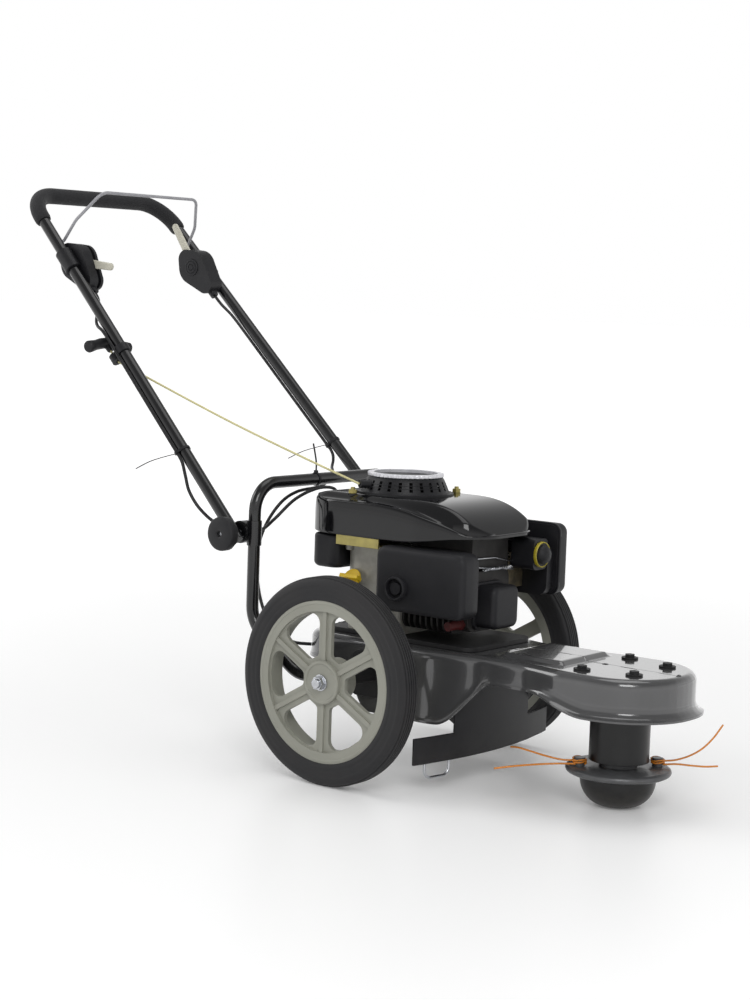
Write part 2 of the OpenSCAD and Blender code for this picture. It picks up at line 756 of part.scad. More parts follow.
module drive_belt() {
  color([0.05, 0.05, 0.05]) translate([-crank_back, 0, belt_z - belt_h / 2]) difference() {
    belt_loop(belt_t, belt_h);
    translate([0, 0, -overrun]) belt_loop(0, belt_h + 2 * overrun);
  }
}

module engine_pulley() {
  color([0.35, 0.35, 0.37]) translate([-crank_back, 0, belt_z]) pulley(engine_pulley_r, crank_r + seat_gap);
}

idler_x = 205;
idler_rest = 8;
idler_pivot_x = 120;
idler_pivot_y = 86;
idler_arm_t = 5;
idler_arm_r = 14;
idler_bolt_r = 6;
idler_arm_z = belt_z + belt_h / 2 + pulley_wall + clear;

// Outer face of the belt's left run at a place along X
function belt_y(x) =
  let (lean = asin((spindle_pulley_r - engine_pulley_r) / drive_span))
  (engine_pulley_r + belt_gap + belt_t) / cos(lean) + (x + crank_back) * tan(lean);
idler_y = belt_y(idler_x) + idler_rest + idler_r;

module idler_arm() {
  reach = [idler_x - idler_pivot_x, idler_y - idler_pivot_y];
  color([0.6, 0.6, 0.62]) translate([idler_pivot_x, idler_pivot_y, 0]) difference() {
    union() {
      translate([0, 0, idler_arm_z]) rotate([0, 0, atan2(reach.y, reach.x)])
        teardrop(idler_arm_r, idler_arm_r, norm(reach), idler_arm_t);
      translate([reach.x, reach.y, belt_z - belt_h / 2])
        cylinder(h = idler_arm_z - belt_z + belt_h / 2, r = idler_r);
      translate([0, 0, idler_arm_z]) cylinder(h = deck_top_z - sheet_t - clear - idler_arm_z, r = idler_arm_r);
    }
    translate([0, 0, idler_arm_z - overrun]) cylinder(h = deck_top_z - idler_arm_z, r = idler_bolt_r + run_gap);
  }
}

// Engine

case_z = deck_top_z + plate_t;
case_top_z = case_z + case_h;
case_reach = 59;
case_back = crank_back + case_reach;
case_fore = case_reach - crank_back;
case_round = 20;
case_wall = 7;
boss_drop = 26;
cavity_r = (case_back + case_fore) / 2 - case_wall;
stud_reach = 100;
stud_turns = [60, 120, 240];
stud_r = 4;
stud_ear_r = 9;
stud_ear_h = 12;
stud_places = [for (a = stud_turns) [-crank_back + stud_reach * cos(a), stud_reach * sin(a)]];
oil_x = -72;
oil_rise = 84;
oil_tilt = 60;
oil_neck_r = 15;
oil_neck_l = 12;
oil_r = 10;

// Local Z runs out along the oil filler's neck
module oil_frame() {
  translate([oil_x, -case_half_w, case_z + oil_rise]) rotate([oil_tilt, 0, 0]) children();
}

module crankcase() {
  mid = (case_fore - case_back) / 2;
  color([0.62, 0.62, 0.63]) difference() {
    union() {
      translate([mid, 0, case_z]) slab(case_back + case_fore, 2 * case_half_w, case_h, case_round);
      translate([-crank_back, 0, case_z - boss_drop]) cylinder(h = boss_drop + case_wall, r = boss_r);
      for (p = stud_places) translate([p.x, p.y, case_top_z - stud_ear_h])
        cylinder(h = stud_ear_h, r = stud_ear_r);
      oil_frame() translate([0, 0, -oil_neck_l]) cylinder(h = 2 * oil_neck_l, r = oil_neck_r);
    }
    translate([-crank_back, 0, case_z + case_wall]) cylinder(h = case_h - 2 * case_wall, r = cavity_r);
    translate([-crank_back, 0, case_z - boss_drop - overrun])
      cylinder(h = case_h + boss_drop + 2 * overrun, r = crank_r + run_gap);
    oil_frame() translate([0, 0, -2 * oil_neck_l]) cylinder(h = 4 * oil_neck_l, r = oil_r + run_gap);
  }
}

oil_cap_r = 18;
oil_cap_t = 5;
oil_wing_l = 40;
oil_wing_t = 7;
oil_wing_h = 15;

module oil_plug() {
  color([0.93, 0.78, 0.1]) oil_frame() {
    translate([0, 0, -oil_neck_l]) cylinder(h = 2 * oil_neck_l + clear, r = oil_r);
    translate([0, 0, oil_neck_l + clear]) cylinder(h = oil_cap_t, r = oil_cap_r);
    translate([-oil_wing_l / 2, -oil_wing_t / 2, oil_neck_l + clear])
      cube([oil_wing_l, oil_wing_t, oil_wing_h]);
  }
}

web_r = 44;
web_h = 24;
crank_top_gap = 16;

module crankshaft() {
  top = hump_z - crank_top_gap;
  low = belt_z - belt_h / 2 - pulley_wall - shaft_top;
  color([0.6, 0.6, 0.62]) translate([-crank_back, 0, 0]) {
    translate([0, 0, low]) cylinder(h = top - low, r = crank_r);
    translate([0, 0, case_z + case_h / 2 - web_h / 2]) cylinder(h = web_h, r = web_r);
  }
}

cyl_rise = 70;
cyl_z = case_z + cyl_rise;
fin_count = 9;
fin_t = 4;
fin_half_w = 74;
fin_half_h = 57;
fin_round = 18;
barrel_r = 46;
bore_r = 32;
cyl_l = 102;
head_l = 28;
head_half_w = 60;
head_half_h = 52;
guide_half_w = 54;
guide_t = 3;
guide_gap = 4;
guide_seat = 1;

// Local Z runs forward along the cylinder
module cylinder_frame() {
  translate([case_fore, 0, cyl_z]) rotate([0, 90, 0]) children();
}

module cylinder_body() {
  pitch = (cyl_l - fin_t) / (fin_count - 1);
  difference() {
    union() {
      cylinder(h = cyl_l, r = barrel_r);
      for (i = [0 : fin_count - 1]) translate([0, 0, i * pitch])
        slab(2 * fin_half_h, 2 * fin_half_w, fin_t, fin_round);
      translate([0, 0, cyl_l]) slab(2 * head_half_h, 2 * head_half_w, head_l, fin_round);
    }
    translate([0, 0, -overrun]) cylinder(h = cyl_l + overrun, r = bore_r);
  }
}

// The air guide is a duct of sheet on the fins, low beneath the flywheel and up into the cowl before it
module cylinder_block() {
  low = cyl_z + fin_half_h - guide_seat;
  mid = flywheel_r - crank_back + guide_gap;
  end = case_fore + cyl_l + head_l;
  color([0.5, 0.5, 0.51]) {
    cylinder_frame() cylinder_body();
    for (g = [[case_fore, mid + guide_t, case_top_z + wheel_z - guide_gap],
              [mid, end, cowl_low_z + cowl_sweep_h + guide_gap]])
      translate([g[0], -guide_half_w, low]) difference() {
        cube([g[1] - g[0], 2 * guide_half_w, g[2] - low]);
        translate([guide_t, guide_t, -overrun])
          cube([g[1] - g[0] - 2 * guide_t, 2 * (guide_half_w - guide_t), case_h]);
      }
  }
}

cover_w = 76;
cover_h = 74;
cover_l = 44;
cover_rim_w = 8;
cover_rim_t = 6;
cover_low = 7;
cover_round = 14;

module rocker_cover() {
  color([0.55, 0.55, 0.56]) cylinder_frame() translate([cover_low, -cover_low, cyl_l + head_l]) {
    slab(cover_h + cover_rim_w, cover_w + cover_rim_w, cover_rim_t, cover_round);
    slab(cover_h, cover_w, cover_l, cover_round);
  }
}

plug_drop = 38;
plug_hex_r = 10;
plug_hex_h = 8;
plug_boot_r = 8;
plug_boot_h = 30;

module spark_plug() {
  color([0.62, 0.1, 0.08]) translate([case_fore + cyl_l + head_l / 2, -head_half_w, cyl_z - plug_drop])
    rotate([90, 0, 0]) {
      hex_head(plug_hex_r, plug_hex_h);
      cylinder(h = plug_hex_h + plug_boot_h, r = plug_boot_r);
    }
}

// Cowl

cowl_gap = 18;
cowl_low_z = case_top_z + cowl_gap;
hump_z = cowl_low_z + cowl_h;
cowl_step = 18;
cowl_nose_half_w = 88;
cowl_shoulder_x = 88;
cowl_rounds = [85, 120, 70];
cowl_sweep_x = 38;
cowl_sweep_run = 140;
cowl_sweep_h = 14;
crease_drop = 10;
crease_x = -42;
crease_run = 220;
crease_fall = 46;
crease_power = 2.2;
crease_min = 6;
hump_run = 155;
hump_fall = 56;
hump_power = 3;
bump_end_share = 0.9;
bump_run_share = 0.22;
bump_rear_run = 50;
cowl_edge_in = 5;
fan_r = 70;
cowl_wall_shares = [0, 0.5, 0.8, 0.96];
cowl_wall_ins = [0, 0, 0.1, 0.4];
cowl_top_shares = [0, 0.12, 0.28, 0.5, 0.75, 1];
pillar_r = 9;
stud_l = 20;

cowl_half = [[-cowl_rear, -cowl_half_w], [cowl_shoulder_x, -cowl_half_w], [cowl_front, -cowl_nose_half_w]];
cowl_line = dense(
  rounded(concat(cowl_half, flipped(cowl_half)), concat(cowl_rounds, flip(cowl_rounds))), cowl_step);
cowl_normals = normals(cowl_line);

function cowl_low(x) = cowl_low_z + cowl_sweep_h * smooth((x - cowl_sweep_x) / cowl_sweep_run);
function cowl_crease(x) = max(cowl_low(x) + crease_min,
  hump_z - crease_drop - crease_fall * pow(max(x - crease_x, 0) / crease_run, crease_power));
function cowl_hump(x) = hump_z - hump_fall * pow(max(x - cowl_sweep_x, 0) / hump_run, hump_power);

// Height of the cowl's top: a crease all round, and a broad hump between its shoulders
function cowl_z(p) =
  let (c = cowl_crease(p.x), side = (bump_end_share - abs(p.y) / cowl_half_w) / bump_run_share)
  c + (cowl_hump(p.x) - c) * smooth(side) * smooth((p.x + cowl_rear) / bump_rear_run);

function cowl_wall(share, inset, depth) = [for (i = [0 : len(cowl_line) - 1])
  let (p = cowl_line[i] - cowl_normals[i] * (depth + inset * cowl_edge_in), low = cowl_low(p.x))
  [p.x, p.y, low + (cowl_crease(p.x) - (share > 0 ? depth : 0) - low) * share]];
function cowl_roof(share, depth) = [for (i = [0 : len(cowl_line) - 1])
  let (p = cowl_line[i] - cowl_normals[i] * (depth + cowl_edge_in), hub = [-crank_back, 0])
  let (q = p + (hub + unit(p - hub) * fan_r - p) * share)
  [q.x, q.y, cowl_z(q) - depth]];
function cowl_side(depth) = concat(
  [for (k = [0 : len(cowl_wall_shares) - 1]) cowl_wall(cowl_wall_shares[k], cowl_wall_ins[k], depth)],
  [for (share = cowl_top_shares) cowl_roof(share, depth)]);

module cowl() {
  rings = concat(cowl_side(0), flip(cowl_side(cowl_t)));
  color([0.04, 0.04, 0.045]) difference() {
    union() {
      polyhedron([for (r = rings) each r], skin(len(rings), len(cowl_line), wrapped = true));
      for (p = stud_places) translate([p.x, p.y, case_top_z]) cylinder(h = hump_z - case_top_z, r = pillar_r);
    }
    for (p = stud_places) translate([p.x, p.y, hump_z - stud_l])
      cylinder(h = stud_l + overrun, r = stud_r + seat_gap);
  }
}

stud_nut_r = 8;
stud_nut_h = 7;
stud_tip = 4;

module cowl_studs() {
  color([0.72, 0.64, 0.32]) for (p = stud_places) translate([p.x, p.y, hump_z]) {
    hex_head(stud_nut_r, stud_nut_h);
    translate([0, 0, -stud_l]) cylinder(h = stud_l + stud_nut_h + stud_tip, r = stud_r);
  }
}

wheel_z = 23;
flywheel_t = 8;
flywheel_h = 30;
flywheel_hub_r = 24;
blade_count = 12;
blade_l = 30;
blade_t = 3;

module flywheel() {
  color([0.55, 0.55, 0.57]) translate([-crank_back, 0, case_top_z + wheel_z]) difference() {
    union() {
      cylinder(h = flywheel_t, r = flywheel_r);
      cylinder(h = flywheel_h, r = flywheel_hub_r);
      for (i = [0 : blade_count - 1]) rotate([0, 0, 360 / blade_count * i])
        translate([flywheel_r - blade_l - blade_t, -blade_t / 2, 0]) cube([blade_l, blade_t, flywheel_h]);
    }
    translate([0, 0, -overrun]) cylinder(h = flywheel_h + 2 * overrun, r = crank_r + seat_gap);
  }
}

starter_base_r = 86;
starter_base_t = 3;
starter_flare = 10;
starter_crest = 5;
starter_crest_in = 4;
starter_wall = 2.5;
recoil_post_r = 8;
recoil_post_low = 6;
slot_count = 24;
slot_w = 6;
slot_low_share = 0.26;
slot_high_share = 0.78;
eyelet_turn = 246;
eyelet_rise = 17;
eyelet_r = 7;
eyelet_hole_r = 3;
eyelet_in = 4;
eyelet_out = 92;

module starter_housing() {
  low = starter_r + starter_flare;
  shoulder = starter_h - starter_crest;
  color([0.06, 0.06, 0.065]) translate([-crank_back, 0, hump_z]) difference() {
    union() {
      rotate_extrude() polygon([
        [fan_r, 0], [starter_base_r, 0], [starter_base_r, starter_base_t], [low, starter_base_t],
        [starter_r, shoulder], [starter_r - starter_crest_in, starter_h], [0, starter_h],
        [0, starter_h - starter_wall], [starter_r - starter_crest_in - starter_wall, starter_h - starter_wall],
        [starter_r - starter_wall, shoulder - starter_wall], [low - starter_wall, starter_base_t],
        [fan_r, starter_base_t]
      ]);
      translate([0, 0, recoil_post_low])
        cylinder(h = starter_h - recoil_post_low - starter_wall / 2, r = recoil_post_r);
      rotate([0, 0, eyelet_turn]) translate([starter_r - eyelet_in / 2, 0, eyelet_rise]) rotate([0, 90, 0])
        cylinder(h = eyelet_out - starter_r + eyelet_in / 2, r = eyelet_r);
    }
    for (i = [0 : slot_count - 1]) rotate([0, 0, 360 / slot_count * i])
      translate([starter_r - starter_flare, -slot_w / 2, starter_h * slot_low_share])
        cube([2 * starter_flare + starter_wall, slot_w, starter_h * (slot_high_share - slot_low_share)]);
    rotate([0, 0, eyelet_turn]) translate([fan_r - eyelet_in, 0, eyelet_rise]) rotate([0, 90, 0])
      cylinder(h = starter_r, r = eyelet_hole_r);
  }
}

crown_h = 6;
crown_out = 1;
crown_in = 12;
crown_teeth = 48;
tooth_h = 2;

module starter_crown() {
  teeth = [for (i = [0 : 2 * crown_teeth - 1])
    (starter_r - starter_crest_in + crown_out + (i % 2) * tooth_h)
    * [cos(180 / crown_teeth * i), sin(180 / crown_teeth * i)]];
  color([0.35, 0.35, 0.36]) translate([-crank_back, 0, hump_z + starter_h])
    linear_extrude(crown_h) difference() {
    polygon(teeth);
    circle(starter_r - crown_in);
  }
}

recoil_r = 48;
recoil_h = 14;
recoil_drop = 9;

module recoil_pulley() {
  color([0.3, 0.3, 0.31]) translate([-crank_back, 0, hump_z + starter_h - recoil_drop - recoil_h])
    ring(recoil_r, recoil_post_r + run_gap, recoil_h);
}

// Fuel tank

tank_l = 64;
tank_half_w = 114;
tank_h = 60;
tank_top_gap = 4;
tank_round = 22;
filler_x = 34;
filler_drop = 40;
filler_tilt = -65;
filler_r = 14;
filler_l = 14;
filler_in = 10;
cap_stem_r = 9;
cap_r = 20;
cap_h = 14;
cap_top_r = 17;
cap_rim_h = 9;

// Local Z runs out along the fuel filler's neck
module filler_frame() {
  translate([-case_back - filler_x, tank_half_w, cowl_low_z - tank_top_gap - filler_drop])
    rotate([filler_tilt, 0, 0]) children();
}

module fuel_tank() {
  color([0.07, 0.07, 0.075]) difference() {
    union() {
      translate([-case_back - tank_l / 2, 0, cowl_low_z - tank_top_gap - tank_h])
        slab(tank_l, 2 * tank_half_w, tank_h, tank_round);
      filler_frame() translate([0, 0, -filler_in]) cylinder(h = filler_in + filler_l, r = filler_r);
    }
    filler_frame() translate([0, 0, -filler_in])
      cylinder(h = 2 * filler_l + filler_in, r = cap_stem_r + run_gap);
  }
}

module fuel_cap() {
  color([0.05, 0.05, 0.055]) filler_frame() {
    translate([0, 0, clear - filler_in]) cylinder(h = filler_in + filler_l, r = cap_stem_r);
    translate([0, 0, filler_l + clear]) cylinder(h = cap_rim_h, r = cap_r);
    translate([0, 0, filler_l + clear]) cylinder(h = cap_h, r = cap_top_r);
  }
}

// Exhaust and intake

exhaust_x = 98;
exhaust_rise = 36;
shield_gap = 2;
exhaust_z = cyl_z + exhaust_rise;
shield_y = case_half_w + shield_gap;
shield_d = 44;
shield_t = 3;
shield_round = 18;
muffler_in = 14;
muffler_gap = 5;
muffler_round = 20;
port_r = 14;
port_drop = 16;
boss_x = 54;
boss_low = 14;
shield_boss_r = 21;
shield_boss_h = 10;
boss_wall = 4;
boss_core_r = 11;
boss_core_h = 6;
pad_reach = 50;
pad_r = 9;

module muffler() {
  color([0.42, 0.4, 0.38]) {
    translate([exhaust_x, -shield_y - muffler_gap, exhaust_z]) rotate([90, 0, 0])
      slab(muffler_guard_l - 2 * muffler_in, muffler_guard_h - 2 * muffler_in,
        shield_d - shield_t - 2 * muffler_gap, muffler_round);
    translate([case_fore + cyl_l + head_l / 2, -head_half_w, exhaust_z - port_drop]) rotate([90, 0, 0])
      cylinder(h = shield_y + 2 * muffler_gap - head_half_w, r = port_r);
  }
}

module muffler_guard() {
  color([0.06, 0.06, 0.06]) difference() {
    union() {
      translate([exhaust_x, -shield_y, exhaust_z]) rotate([90, 0, 0]) difference() {
        slab(muffler_guard_l, muffler_guard_h, shield_d, shield_round);
        translate([0, 0, -overrun]) slab(muffler_guard_l - 2 * shield_t, muffler_guard_h - 2 * shield_t,
          shield_d - shield_t + overrun, shield_round - shield_t);
      }
      for (side = [-1, 1])
        translate([exhaust_x + side * pad_reach, -shield_y - shield_d + muffler_gap + shield_t, exhaust_z])
          rotate([90, 0, 0]) cylinder(h = muffler_gap + shield_t / 2, r = pad_r);
      translate([boss_x, -shield_y - shield_d + shield_t / 2, exhaust_z - boss_low]) rotate([90, 0, 0])
        cylinder(h = shield_boss_h + shield_t / 2, r = shield_boss_r);
    }
    translate([boss_x, -shield_y - shield_d, exhaust_z - boss_low]) rotate([90, 0, 0]) difference() {
      cylinder(h = shield_boss_h + overrun, r = shield_boss_r - boss_wall);
      cylinder(h = boss_core_h, r = boss_core_r);
    }
  }
}

carb_gap = 2;
carb_l = 24;
carb_w = 45;
carb_h = 50;
carb_rise = 40;
bowl_r = 11;
bowl_h = 22;
spindle_rod_r = 3;
spindle_rod_h = 14;
link_l = 34;
link_w = 8;
link_t = 3;

module carburettor() {
  x = case_fore + cyl_l + carb_gap;
  z = cyl_z + carb_rise - carb_h / 2;
  color([0.62, 0.55, 0.4]) {
    translate([x, head_half_w, z]) cube([carb_l, carb_w, carb_h]);
    translate([x + carb_l / 2, head_half_w + carb_w / 2, z - bowl_h])
      cylinder(h = bowl_h + carb_gap, r = bowl_r);
    translate([x + carb_l / 2, head_half_w + carb_w / 2, z])
      cylinder(h = carb_h + spindle_rod_h, r = spindle_rod_r);
    translate([x + carb_l / 2 - link_w / 2, head_half_w + carb_w / 2 - link_l / 2,
      z + carb_h + spindle_rod_h - link_t]) cube([link_w, link_l, link_t]);
  }
}

air_x = 143;
air_rise = 66;
air_z = cyl_z + air_rise;
air_y = head_half_w + carb_w;
air_core_l = 112;
air_core_h = 90;
air_core_low = 18;
air_flange_y = cowl_half_w + overrun;
air_flange_t = 3;
air_flange_in = 3;
air_cover_d = 32;
air_cover_t = 3;
air_round = 18;
primer_y = 84;
primer_drop = 12;
primer_l = 47;
primer_w = 44;
primer_h = 54;
primer_round = 10;
primer_fore = 198;
primer_ring_r = 22;
primer_ring_h = 5;
primer_r = 17;
primer_back = 2;
primer_pocket = 10;
primer_dome_h = 14;

// Local Z runs forward out of the primer's face
module primer_frame() {
  translate([primer_fore, primer_y, air_z + primer_drop]) rotate([0, 90, 0]) children();
}

module air_cleaner_base() {
  color([0.08, 0.08, 0.085]) difference() {
    union() {
      translate([air_x, air_flange_y + air_flange_t / 2, air_z - air_core_low]) rotate([90, 0, 0])
        slab(air_core_l, air_core_h, air_flange_y + air_flange_t / 2 - air_y, air_round);
      translate([air_x, air_flange_y + air_flange_t, air_z]) rotate([90, 0, 0])
        slab(air_cover_l - 2 * air_flange_in, air_cover_h - 2 * air_flange_in, air_flange_t, air_round);
      primer_frame() translate([0, 0, -primer_l]) slab(primer_h, primer_w, primer_l, primer_round);
      primer_frame() cylinder(h = primer_ring_h, r = primer_ring_r);
    }
    primer_frame() translate([0, 0, -primer_pocket]) cylinder(h = 2 * primer_pocket, r = primer_r + run_gap);
  }
}

module primer_bulb() {
  dome = [for (a = [0 : 15 : 90]) [primer_r * cos(a), primer_ring_h + primer_dome_h * sin(a)]];
  color([0.05, 0.05, 0.05]) primer_frame()
    rotate_extrude() polygon(concat([[0, -primer_back], [primer_r, -primer_back]], dome));
}

module air_cleaner_cover() {
  color([0.045, 0.045, 0.05]) translate([air_x, air_flange_y + air_flange_t + seat_gap, air_z])
    rotate([-90, 0, 0])
    difference() {
      slab(air_cover_l, air_cover_h, air_cover_d, air_round);
      translate([0, 0, -overrun]) slab(air_cover_l - 2 * air_cover_t * 2, air_cover_h - 2 * air_cover_t * 2,
        air_cover_d - air_cover_t + overrun, air_round - air_cover_t);
    }
}

strip_rear = 96;
strip_fore = 2;
strip_y = 118;
strip_t = 3;
strip_gap = 1;
foot_rear = 62;
foot_fore = 14;
foot_in = 64;

module brake_bracket() {
  color([0.62, 0.57, 0.33]) {
    translate([-strip_rear, -strip_y - strip_t, case_top_z])
      cube([strip_rear - strip_fore, strip_t, cowl_gap - strip_gap]);
    translate([-foot_rear, -strip_y - strip_t, case_top_z])
      cube([foot_rear - foot_fore, strip_y + strip_t - foot_in, strip_t]);
  }
}

// Lower handle

post_bend = 50;
leg_x = -112;
leg_low = 12;
leg_bend = 60;
leg_path = [[-post_back, bar_z], [-post_back, kink_z], [leg_x, wheel_r - leg_low], [0, wheel_r]];
post_foot_z = kink_z + leg_bend * tan(turn_at(leg_path[0], leg_path[1], leg_path[2]) / 2) - joint;

// Each leg runs beside its tyre, and a post that stands apart from it sways across below the pivot's clamp
leg_gap = 19;
leg_half = track_w / 2 - tyre_w / 2 - leg_gap - tube_r;
sway_gap = 14;

module lower_path(r, extra) {
  half = post_w / 2;
  sway = abs(half - leg_half) < joint ? []
    : [[leg_half, post_foot_z + sway_gap], [half, pivot_z - clamp_h / 2 - sway_gap]];
  up = concat([[leg_half, post_foot_z]], sway, [[half, bar_z]]);
  translate([-post_back, 0, 0]) rotate([90, 0, 90])
    bent_bar(concat([for (p = up) [-p.x, p.y]], flip(up)), post_bend, r);
  for (side = [-1, 1]) translate([0, side * leg_half, 0]) rotate([90, 0, 0])
    bent_bar(stretched(leg_path, extra), leg_bend, r, 1);
}

module lower_handle() {
  color([0.05, 0.05, 0.055]) difference() {
    lower_path(tube_r, 0);
    lower_path(tube_r - tube_t, overrun);
    translate([0, 0, wheel_r]) rotate([90, 0, 0]) cylinder(h = track_w, r = sleeve_r + seat_gap, center = true);
  }
}

pivot_x = -post_back - pivot_back;
bracket_in = 14;
bracket_out = 12;
coupling_t = 2.7;
slant_gap = 1.3;
coupling_r = 18;
pivot_boss_r = 20;
clamp_r = 13.2;
clamp_h = 44;
pivot_bolt_r = 5;
pivot_y = post_w / 2 + bracket_out + coupling_t + slant_gap + tube_r;
knob_y = pivot_y + tube_r + slant_gap;

// Local Z runs outward along the fold's axis from the machine's middle
module pivot_frame(side) {
  at_side(side) translate([pivot_x, 0, pivot_z]) rotate([-90, 0, 0]) children();
}

module pivot_brackets() {
  color([0.06, 0.06, 0.065]) for (side = [-1, 1]) difference() {
    union() {
      pivot_frame(side) translate([0, 0, post_w / 2 - bracket_in])
        cylinder(h = bracket_in + bracket_out, r = pivot_boss_r);
      pivot_frame(side) translate([0, 0, post_w / 2]) cylinder(h = bracket_out + coupling_t, r = coupling_r);
      translate([-post_back, side * post_w / 2, pivot_z]) cylinder(h = clamp_h, r = clamp_r, center = true);
    }
    translate([-post_back, side * post_w / 2, pivot_z])
      cylinder(h = 2 * clamp_h, r = tube_r + seat_gap, center = true);
    pivot_frame(side) cylinder(h = post_w, r = pivot_bolt_r + seat_gap);
  }
}

pivot_head_r = 9;
pivot_head_h = 6;
knob_h = 28;
knob_bolt = 22;

module pivot_bolts() {
  inner = post_w / 2 - bracket_in;
  color([0.7, 0.7, 0.72]) for (side = [-1, 1]) pivot_frame(side) {
    translate([0, 0, inner - pivot_head_h]) hex_head(pivot_head_r, pivot_head_h);
    translate([0, 0, inner - pivot_head_h])
      cylinder(h = knob_y + knob_bolt - inner + pivot_head_h, r = pivot_bolt_r);
  }
}

knob_foot_r = 20;
knob_waist = 8;
knob_edge = 24;
knob_rim_w = 5;
knob_dish = 21;
knob_lobes = 8;
lobe_cut_r = 8;
lobe_cut_out = 4;
lobe_h = 9;

module knob(side) {
  color([0.05, 0.05, 0.055]) pivot_frame(side) translate([0, 0, knob_y]) difference() {
    rotate_extrude() polygon([
      [pivot_bolt_r + run_gap, 0], [knob_foot_r, 0], [knob_r, knob_waist], [knob_r, knob_edge],
      [knob_r - knob_rim_w / 2, knob_h], [knob_r - knob_rim_w, knob_h], [knob_foot_r - knob_rim_w, knob_dish],
      [pivot_bolt_r + run_gap, knob_dish]
    ]);
    for (i = [0 : knob_lobes - 1]) rotate([0, 0, 360 / knob_lobes * i])
      translate([knob_r + lobe_cut_out, 0, -overrun]) cylinder(h = lobe_h + overrun, r = lobe_cut_r);
  }
}

module right_knob() { knob(-1); }
module left_knob() { knob(1); }

// Upper handle

handle_bend = 65;
handle_end = 16;
leg_taper = atan((pivot_y - handle_top_w / 2) / handle_l);
bail_back = 128;
bail_u = handle_l - bail_back;
function leg_y(u) = pivot_y - (pivot_y - handle_top_w / 2) * u / handle_l;

// Local X runs up the handle, local Y to the machine's left and local Z down and back from the handle's plane
module handle_plane() {
  translate([pivot_x, 0, pivot_z]) rotate([0, 180 + handle_rise, 0]) children();
}

// A place on one leg: local X up the leg, local Y outboard, local Z down and back
module on_leg(side, u) {
  at_side(side) handle_plane() translate([u, leg_y(u), 0]) rotate([0, 0, -leg_taper]) children();
}

// The same place as a point of the machine, dy outboard of the tube's middle and dn above the handle's plane
function leg_point(side, u, dy, dn) = [
  pivot_x - u * cos(handle_rise) + dn * sin(handle_rise), side * (leg_y(u) + dy),
  pivot_z + u * sin(handle_rise) + dn * cos(handle_rise)];

module upper_handle() {
  path = [[-handle_end, leg_y(-handle_end)], [handle_l, handle_top_w / 2], [handle_l, -handle_top_w / 2],
    [-handle_end, -leg_y(-handle_end)]];
  color([0.05, 0.05, 0.055]) difference() {
    handle_plane() bent_tube(path, handle_bend, tube_r, tube_r - tube_t);
    for (side = [-1, 1]) pivot_frame(side) translate([0, 0, pivot_y - 2 * tube_r])
      cylinder(h = 4 * tube_r, r = pivot_bolt_r + run_gap);
    for (side = [-1, 1]) at_side(side) handle_plane() translate([bail_u, leg_y(bail_u) - 2 * tube_r, 0])
      rotate([-90, 0, 0]) cylinder(h = 2 * tube_r, r = bail_r + run_gap);
  }
}

foam_back = 73;
foam_u = handle_l - foam_back;

module foam_grip() {
  u = foam_u;
  color([0.09, 0.09, 0.095]) handle_plane() bent_tube(
    [[u, leg_y(u)], [handle_l, handle_top_w / 2], [handle_l, -handle_top_w / 2], [u, -leg_y(u)]],
    handle_bend, foam_r, tube_r + seat_gap);
}

bail_lean = 78;
bail_stub = 5;
bail_inset = 6;
bail_knee = 50;
bail_knee_in = 6;
bail_top_half_w = 130;
bail_bend = 6;
bail_knee_bend = 40;
bail_top_bend = 24;

module bail() {
  foot = leg_y(bail_u) - tube_r - bail_inset;
  half = [[0, -foot - bail_inset - bail_stub], [0, -foot], [bail_knee, bail_knee_in - foot],
    [bail_l, -bail_top_half_w]];
  bends = [0, bail_bend, bail_knee_bend, bail_top_bend];
  color([0.6, 0.6, 0.6]) handle_plane() translate([bail_u, 0, 0]) rotate([0, bail_lean, 0])
    bent_bar(concat(half, flipped(half)), concat(bends, flip(bends)), bail_r);
}

control_back = 180;
control_u = handle_l - control_back;
control_in = 44;
pod_top_l = 22;
pod_top_r = 20;
pod_low_l = 48;
pod_low_r = 18;
pod_reach = pod_low_l + pod_low_r + overrun;
control_out = 10;
clamp_l = 44;
control_clamp_r = 16;
groove_in = 38;
groove_w = 7;
groove_r = 20.5;
lever_core_r = 11;
lever_hub_r = 20;
lever_arm_r = 9;
lever_t = 6;
lever_tip_r = 7;
throttle_lean = -140;
throttle_mouth = 160;
clutch_lean = -12;
clutch_mouth = -57;
snout_r = 8;
snout_l = 74;
snout_y = -27;
snout_z = 6;

// Local Z runs inboard along a lever's axle, and local X up the leg
module lever_frame(side) {
  on_leg(side, control_u) rotate([90, 0, 0]) children();
}

// A pod's outline: a round middle drawn out up and down the leg
module pod(h) {
  cylinder(h = h, r = control_r);
  translate([pod_top_l, 0, 0]) cylinder(h = h, r = pod_top_r);
  translate([-pod_low_l, 0, 0]) cylinder(h = h, r = pod_low_r);
  linear_extrude(h) polygon(tangent_quad(control_r, pod_top_r, pod_top_l));
  rotate([0, 0, 180]) linear_extrude(h) polygon(tangent_quad(control_r, pod_low_r, pod_low_l));
}

